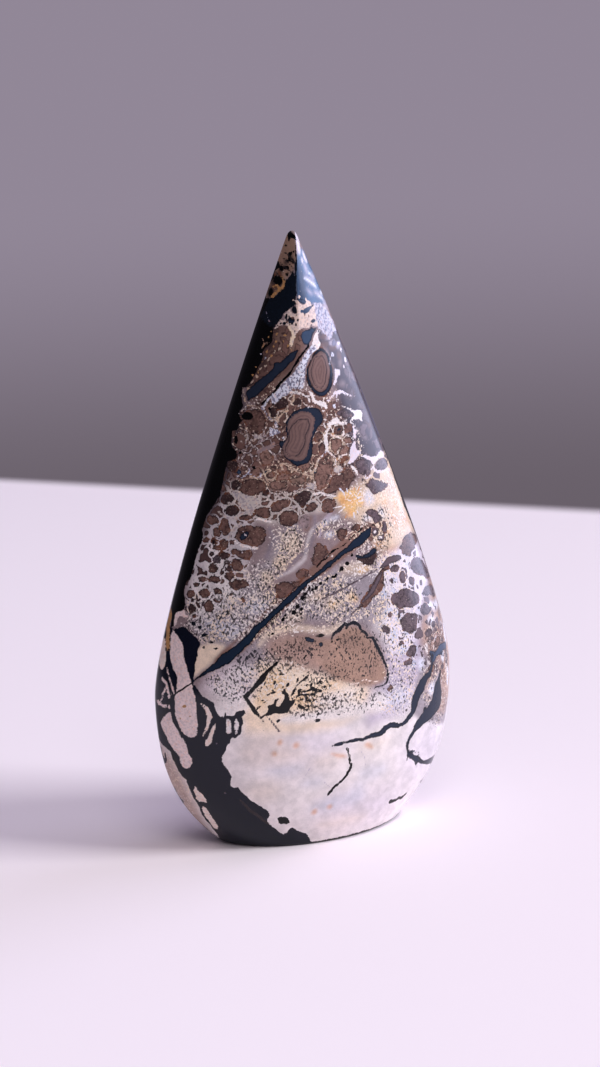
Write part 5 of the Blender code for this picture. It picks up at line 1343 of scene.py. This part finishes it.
finish = {
    "polish": 0.12,  # roughness of the polished face
    "indexOfRefraction": 1.54,
    "sheen": 0.27,
    "edgeRipple": 0.42,  # mm that fine noise moves a marking's edge
    "softEdge": 0.07,
    "noise": (5, 1.5, 0.55, 0.22),  # mm across the features of broad, middle, fine and dusty noise
    "grains": {"threads": 0.38, "flecks": 0.36, "speckle": 0.42},  # mm, likewise
    "cells": (1.5, 2.6),  # mm across the close-packed cells of either size
    "cellBend": (1.3, 1.1),  # mm: size and reach of the noise that bends them
    "ringTurns": 10,  # rings in an orb's heart, as radians for each mm
}


def polishJasper(material):
    material.use_nodes = True
    tree = material.node_tree
    tree.nodes.clear()
    maker = Maker(tree)
    place = maker.add("ShaderNodeTexCoord", out=3)

    def ripple(size, detail=2.0, offset=0.0, stretch=(1, 1, 1)):
        # smooth noise from 0 to 1 whose features are about size mm across
        sockets = {"Vector": place, "Scale": 1 / (size * mm), "Detail": detail}
        if offset:
            sockets["Vector"] = maker.add("ShaderNodeMapping", None, {
                "Vector": place, "Location": (offset,) * 3, "Rotation": (0.4, 0.7, 0.3), "Scale": stretch})
        return maker.add("ShaderNodeTexNoise", None, sockets)

    def paint(name):
        return (*linear(name)[:3], 1)

    def shaded(colour, amount):
        grey = maker.add("ShaderNodeCombineColor", None, dict.fromkeys((0, 1, 2), amount))
        return maker.mix(1, colour, grey, "MULTIPLY")

    broadSize, middleSize, fineSize, dustSize = finish["noise"]
    broad, middle = ripple(broadSize), ripple(middleSize, offset=0.3)
    fine, dust = ripple(fineSize, offset=0.7), ripple(dustSize, 1.0)
    wobble = (fine - 0.5) * finish["edgeRipple"] + (dust - 0.5) * (finish["edgeRipple"] * 0.9)
    cellDepth, darkDepth, lightDepth = maker.parts(maker.attribute("depths")[0])
    fineDepth, wormShare, fleckShare = maker.parts(maker.attribute("grains")[0])
    soft = finish["softEdge"]
    sizes = finish["grains"]

    # ground: drifting tones, fine cream threads, dark flecks
    colour, _ = maker.attribute("ground")
    grit = (wormShare + fleckShare).least(1) * 0.8 + 0.2  # the plain cream is smoother
    tone = broad.step(0.35, 0.65) * 0.14 + middle.step(0.3, 0.7) * 0.16
    tone = tone + (fine * 0.2 + dust.step(0.3, 0.7) * 0.32 - 0.26) * grit + 0.86
    colour = shaded(colour, tone)
    palest = maker.mix(broad.step(0.35, 0.6), paint("cream"), paint("warmCream"))
    grain, reach = ripple(sizes["threads"], 1, offset=1.3), wormShare * 0.38
    colour = maker.mix(grain.step(0.86 - reach, 0.91 - reach) * 0.85, colour, palest)
    darkest = maker.mix(broad.step(0.4, 0.6), paint("umber"), paint("navy"))
    grain, reach = ripple(sizes["flecks"], 1, offset=2.1, stretch=(1, 1, 0.7)), fleckShare * 0.35
    opacity = (fine * 0.9 + 0.4).least(0.95)
    colour = maker.mix(grain.step(0.84 - reach, 0.9 - reach) * opacity, colour, darkest)

    # close-packed cells of two sizes, parted by veins of the ground
    mineral, share = maker.attribute("packed")
    bendSize, bend = finish["cellBend"]
    bent = ripple(bendSize, 2, offset=4.1).socket.node.outputs["Color"]
    bent = maker.add("ShaderNodeVectorMath", {"operation": "MULTIPLY_ADD"}, {
        0: Signal(maker, bent), 1: (bend * mm,) * 3, 2: place})
    gaps, chances = [], []
    for size in finish["cells"]:
        sockets = {"Vector": bent, "Scale": 1 / (size * mm)}
        cut = maker.add("ShaderNodeTexVoronoi", {"feature": "DISTANCE_TO_EDGE"}, sockets)
        gaps.append(cut * size)
        cell = maker.add("ShaderNodeTexVoronoi", {"feature": "F1"}, sockets, out=1)
        chances.append(maker.parts(cell)[0])
    large = broad.step(0.47, 0.53)
    gap, chance = (small * (1 - large) + big * large for small, big in (gaps, chances))
    gap = gap - 0.06 - middle.step(0.5, 0.75) * 0.2 - (1 - share) * 1.3 - (chance - 0.8).most(0) * 0.4
    inside = (gap + wobble * 0.5).step(0, soft) * (1 - cellDepth.step(-0.22, -0.12))
    fill = shaded(mineral, fine * 0.5 + middle * 0.3 + chance * 0.5 + dust * 0.6 + 0.2)
    rimmed = (1 - (gap + wobble * 0.6).step(0.05, 0.3)) * 0.75
    colour = maker.mix(inside, colour, maker.mix(rimmed, fill, paint("darkBrown")))

    # cells: dark rims round mottled insides
    mineral, rim = maker.attribute("cellMineral")
    cellDepth = cellDepth + (middle - 0.5) * 0.8 + wobble * 1.3
    inside = cellDepth.step(0.02, 0.02 + soft)
    fill = shaded(mineral, middle.step(0.3, 0.7) * 0.4 + fine.step(0.3, 0.7) * 0.35 + dust * 0.5 + 0.3)
    fill = maker.mix(dust.step(0.66, 0.74) * 0.5, fill, paint("sand"))
    fill = maker.mix((1 - fine.step(0.36, 0.43)) * 0.5, fill, paint("darkBrown"))
    rust = maker.mix(middle.step(0.5, 0.62), paint("darkBrown"), paint("rust"))
    fill = maker.mix((1 - cellDepth.step(0.12, 0.45)) * rim, fill, rust)
    colour = maker.mix(inside, colour, fill)

    # dark minerals: slate is paler inside than at its edge
    mineral, rim = maker.attribute("darkMineral")
    scallop = (middle - 0.5) * 0.5 + wobble * 1.15
    darkDepth = darkDepth + scallop * darkDepth.step(-1, 0.5)
    fill = shaded(mineral, middle * 0.3 + fine * 0.2 + 0.75)
    fill = maker.mix((1 - darkDepth.step(0.08, 0.35)) * rim, fill, paint("black"))
    colour = maker.mix(darkDepth.step(0, soft), colour, fill)

    # pale minerals: some speckled, and the hearts of the orbs ringed
    mineral, speckle = maker.attribute("lightMineral")
    inside = (lightDepth + wobble * 1.2).step(0, soft)
    fill = shaded(mineral, middle * 0.3 + fine * 0.3 + 0.7)
    fill = maker.mix(fine.step(0.52, 0.7) * (speckle + 1).least(1) * 0.3, fill, paint("orange"))
    grain = ripple(sizes["speckle"], 1, offset=3.3)
    fill = maker.mix(grain.step(0.49, 0.57) * speckle.most(0), fill, paint("violetSlate"))
    rings = ((lightDepth + wobble * 0.4) * finish["ringTurns"]).maths("SINE").step(-0.2, 0.9)
    fill = maker.mix(rings * (speckle * -0.16).most(0), fill, paint("darkBrown"))
    colour = maker.mix(inside, colour, fill)

    # the finest marks have one plain colour each
    mineral, _ = maker.attribute("fineMineral")
    colour = maker.mix((fineDepth + wobble * 0.3).step(0, soft), colour, mineral)

    gloss = middle * 0.05 + (dust - 0.5) * 0.04 + finish["polish"]
    surface = maker.add("ShaderNodeBsdfPrincipled", None, {
        "Base Color": colour, "Roughness": gloss, "IOR": finish["indexOfRefraction"],
        "Specular IOR Level": finish["sheen"]})
    maker.add("ShaderNodeOutputMaterial", None, {0: surface})


polishJasper(material)
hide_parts("jasper_point")
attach(stone, "root")
print("jasper polished")

studio = {
    "table": (0.62, 0.276),  # half its length and depth
    "tableTurn": -45,
    "tableFade": 0.014,
    "tableColour": (0.99, 0.90, 0.94),
    "wall": ((0.142, 0.118, 0.144), (0.285, 0.243, 0.31)),  # low and high on the backdrop
    "wallStep": (-0.215, -0.07),  # sines of the angles where the one goes over into the other
    "shade": (0.06, 0.055, 0.066),  # the side away from the window
    "shadeTurn": (-1, -0.6),
    "shadeStep": (0.1, 0.9),
    "window": {  # degrees: from the right of the stone, and above the table
        "near": (-18, -6), "far": (20, 32), "sill": (-14, -2), "head": (32, 44), "strength": (2.9, 3.05, 4.3),
    },
    "aim": (0, 0, 0.05),  # what the lamps point at
    "lamps": {
        "side": {"place": (2.3, -1.5, 1.9), "size": 1, "power": 80, "colour": (0.95, 0.96, 1)},
        "fill": {"place": (-0.10, -0.55, 0.95), "size": 0.6, "power": 2.7, "colour": (1, 0.97, 0.96)},
    },
}


def makeTable():
    mesh = bpy.data.meshes.new("paleTable")
    shaper = bmesh.new()
    bmesh.ops.create_grid(shaper, x_segments=1, y_segments=1, size=1)
    bmesh.ops.scale(shaper, vec=(*studio["table"], 1), verts=shaper.verts)
    shaper.to_mesh(mesh)
    shaper.free()
    table = bpy.data.objects.new("paleTable", mesh)
    table.rotation_euler.z = math.radians(studio["tableTurn"])
    bpy.context.scene.collection.objects.link(table)
    cloth = bpy.data.materials.new("paleTable")
    cloth.use_nodes = True
    cloth.node_tree.nodes.clear()
    maker = Maker(cloth.node_tree)
    x, y, _ = maker.parts(maker.add("ShaderNodeTexCoord", out=3))
    long, deep = studio["table"]
    beyond = (x.size() - long).most(y.size() - deep)
    top = maker.add("ShaderNodeBsdfDiffuse", None, {"Color": (*studio["tableColour"], 1)})
    clear = maker.add("ShaderNodeBsdfTransparent")
    edge = 1 - (beyond * -1).step(0, studio["tableFade"])
    surface = maker.add("ShaderNodeMixShader", None, {0: edge, 1: top, 2: clear})
    maker.add("ShaderNodeOutputMaterial", None, {0: surface})
    mesh.materials.append(cloth)


def makeLamp(name, place, size, power, colour):
    light = bpy.data.lights.new(name, "AREA")
    light.size, light.energy, light.color = size, power, colour
    lamp = bpy.data.objects.new(name, light)
    lamp.location = place
    lamp.visible_glossy = False  # only the window shows in the polish
    lamp.rotation_mode = "QUATERNION"
    lamp.rotation_quaternion = (Vector(studio["aim"]) - Vector(place)).to_track_quat("-Z", "Y")
    bpy.context.scene.collection.objects.link(lamp)


def makeBackdrop():
    world = bpy.data.worlds.new("studioWall")
    world.use_nodes = True
    world.node_tree.nodes.clear()
    maker = Maker(world.node_tree)
    x, y, z = maker.parts(maker.add("ShaderNodeTexCoord", out=0))
    low, high, shade = ((*colour, 1) for colour in (*studio["wall"], studio["shade"]))
    wall = maker.mix(z.step(*studio["wallStep"]), low, high)
    across, deep = studio["shadeTurn"]
    wall = maker.mix((x * across + y * deep).step(*studio["shadeStep"]), wall, shade)
    window = studio["window"]
    bearing = y.maths("ARCTAN2", x)
    glow = bearing.step(*np.radians(window["near"])) * (1 - bearing.step(*np.radians(window["far"])))
    sill, head = (np.sin(np.radians(window[name])) for name in ("sill", "head"))
    glow = glow * z.step(*sill) * (1 - z.step(*head))
    wall = maker.mix(glow, wall, (*window["strength"], 1))
    shell = maker.add("ShaderNodeBackground", None, {0: wall, 1: 1.0})
    maker.add("ShaderNodeOutputWorld", None, {0: shell})
    bpy.context.scene.world = world


camera = {
    "azimuth": -20, "elevation": 13, "roll": -2.5,  # degrees
    "distance": 0.39716, "target": (-0.00038, 0, 0.055), "lens": 74.2,
    "shift": (3.05 / 1067, 3.59 / 1067),  # the frame is 600 by 1067
    "clip": (0.01, 10),
}


def makeCamera():
    turn, rise, roll = (math.radians(camera[name]) for name in ("azimuth", "elevation", "roll"))
    back = Vector((math.sin(turn) * math.cos(rise), -math.cos(turn) * math.cos(rise), math.sin(rise)))
    right = Vector((math.cos(turn), math.sin(turn), 0))
    up = back.cross(right)
    right, up = right * math.cos(roll) + up * math.sin(roll), up * math.cos(roll) - right * math.sin(roll)
    data = bpy.data.cameras.new("camera")
    data.lens = camera["lens"]
    data.shift_x, data.shift_y = camera["shift"]
    data.clip_start, data.clip_end = camera["clip"]
    eye = bpy.data.objects.new("camera", data)
    place = Vector(camera["target"]) + back * camera["distance"]
    eye.matrix_world = Matrix.Translation(place) @ Matrix((right, up, back)).transposed().to_4x4()
    bpy.context.scene.collection.objects.link(eye)
    bpy.context.scene.camera = eye


makeTable()
for name, lamp in studio["lamps"].items():
    makeLamp(name, **lamp)
makeBackdrop()
makeCamera()
bpy.context.scene.view_settings.view_transform = "Standard"
print("studio lit")
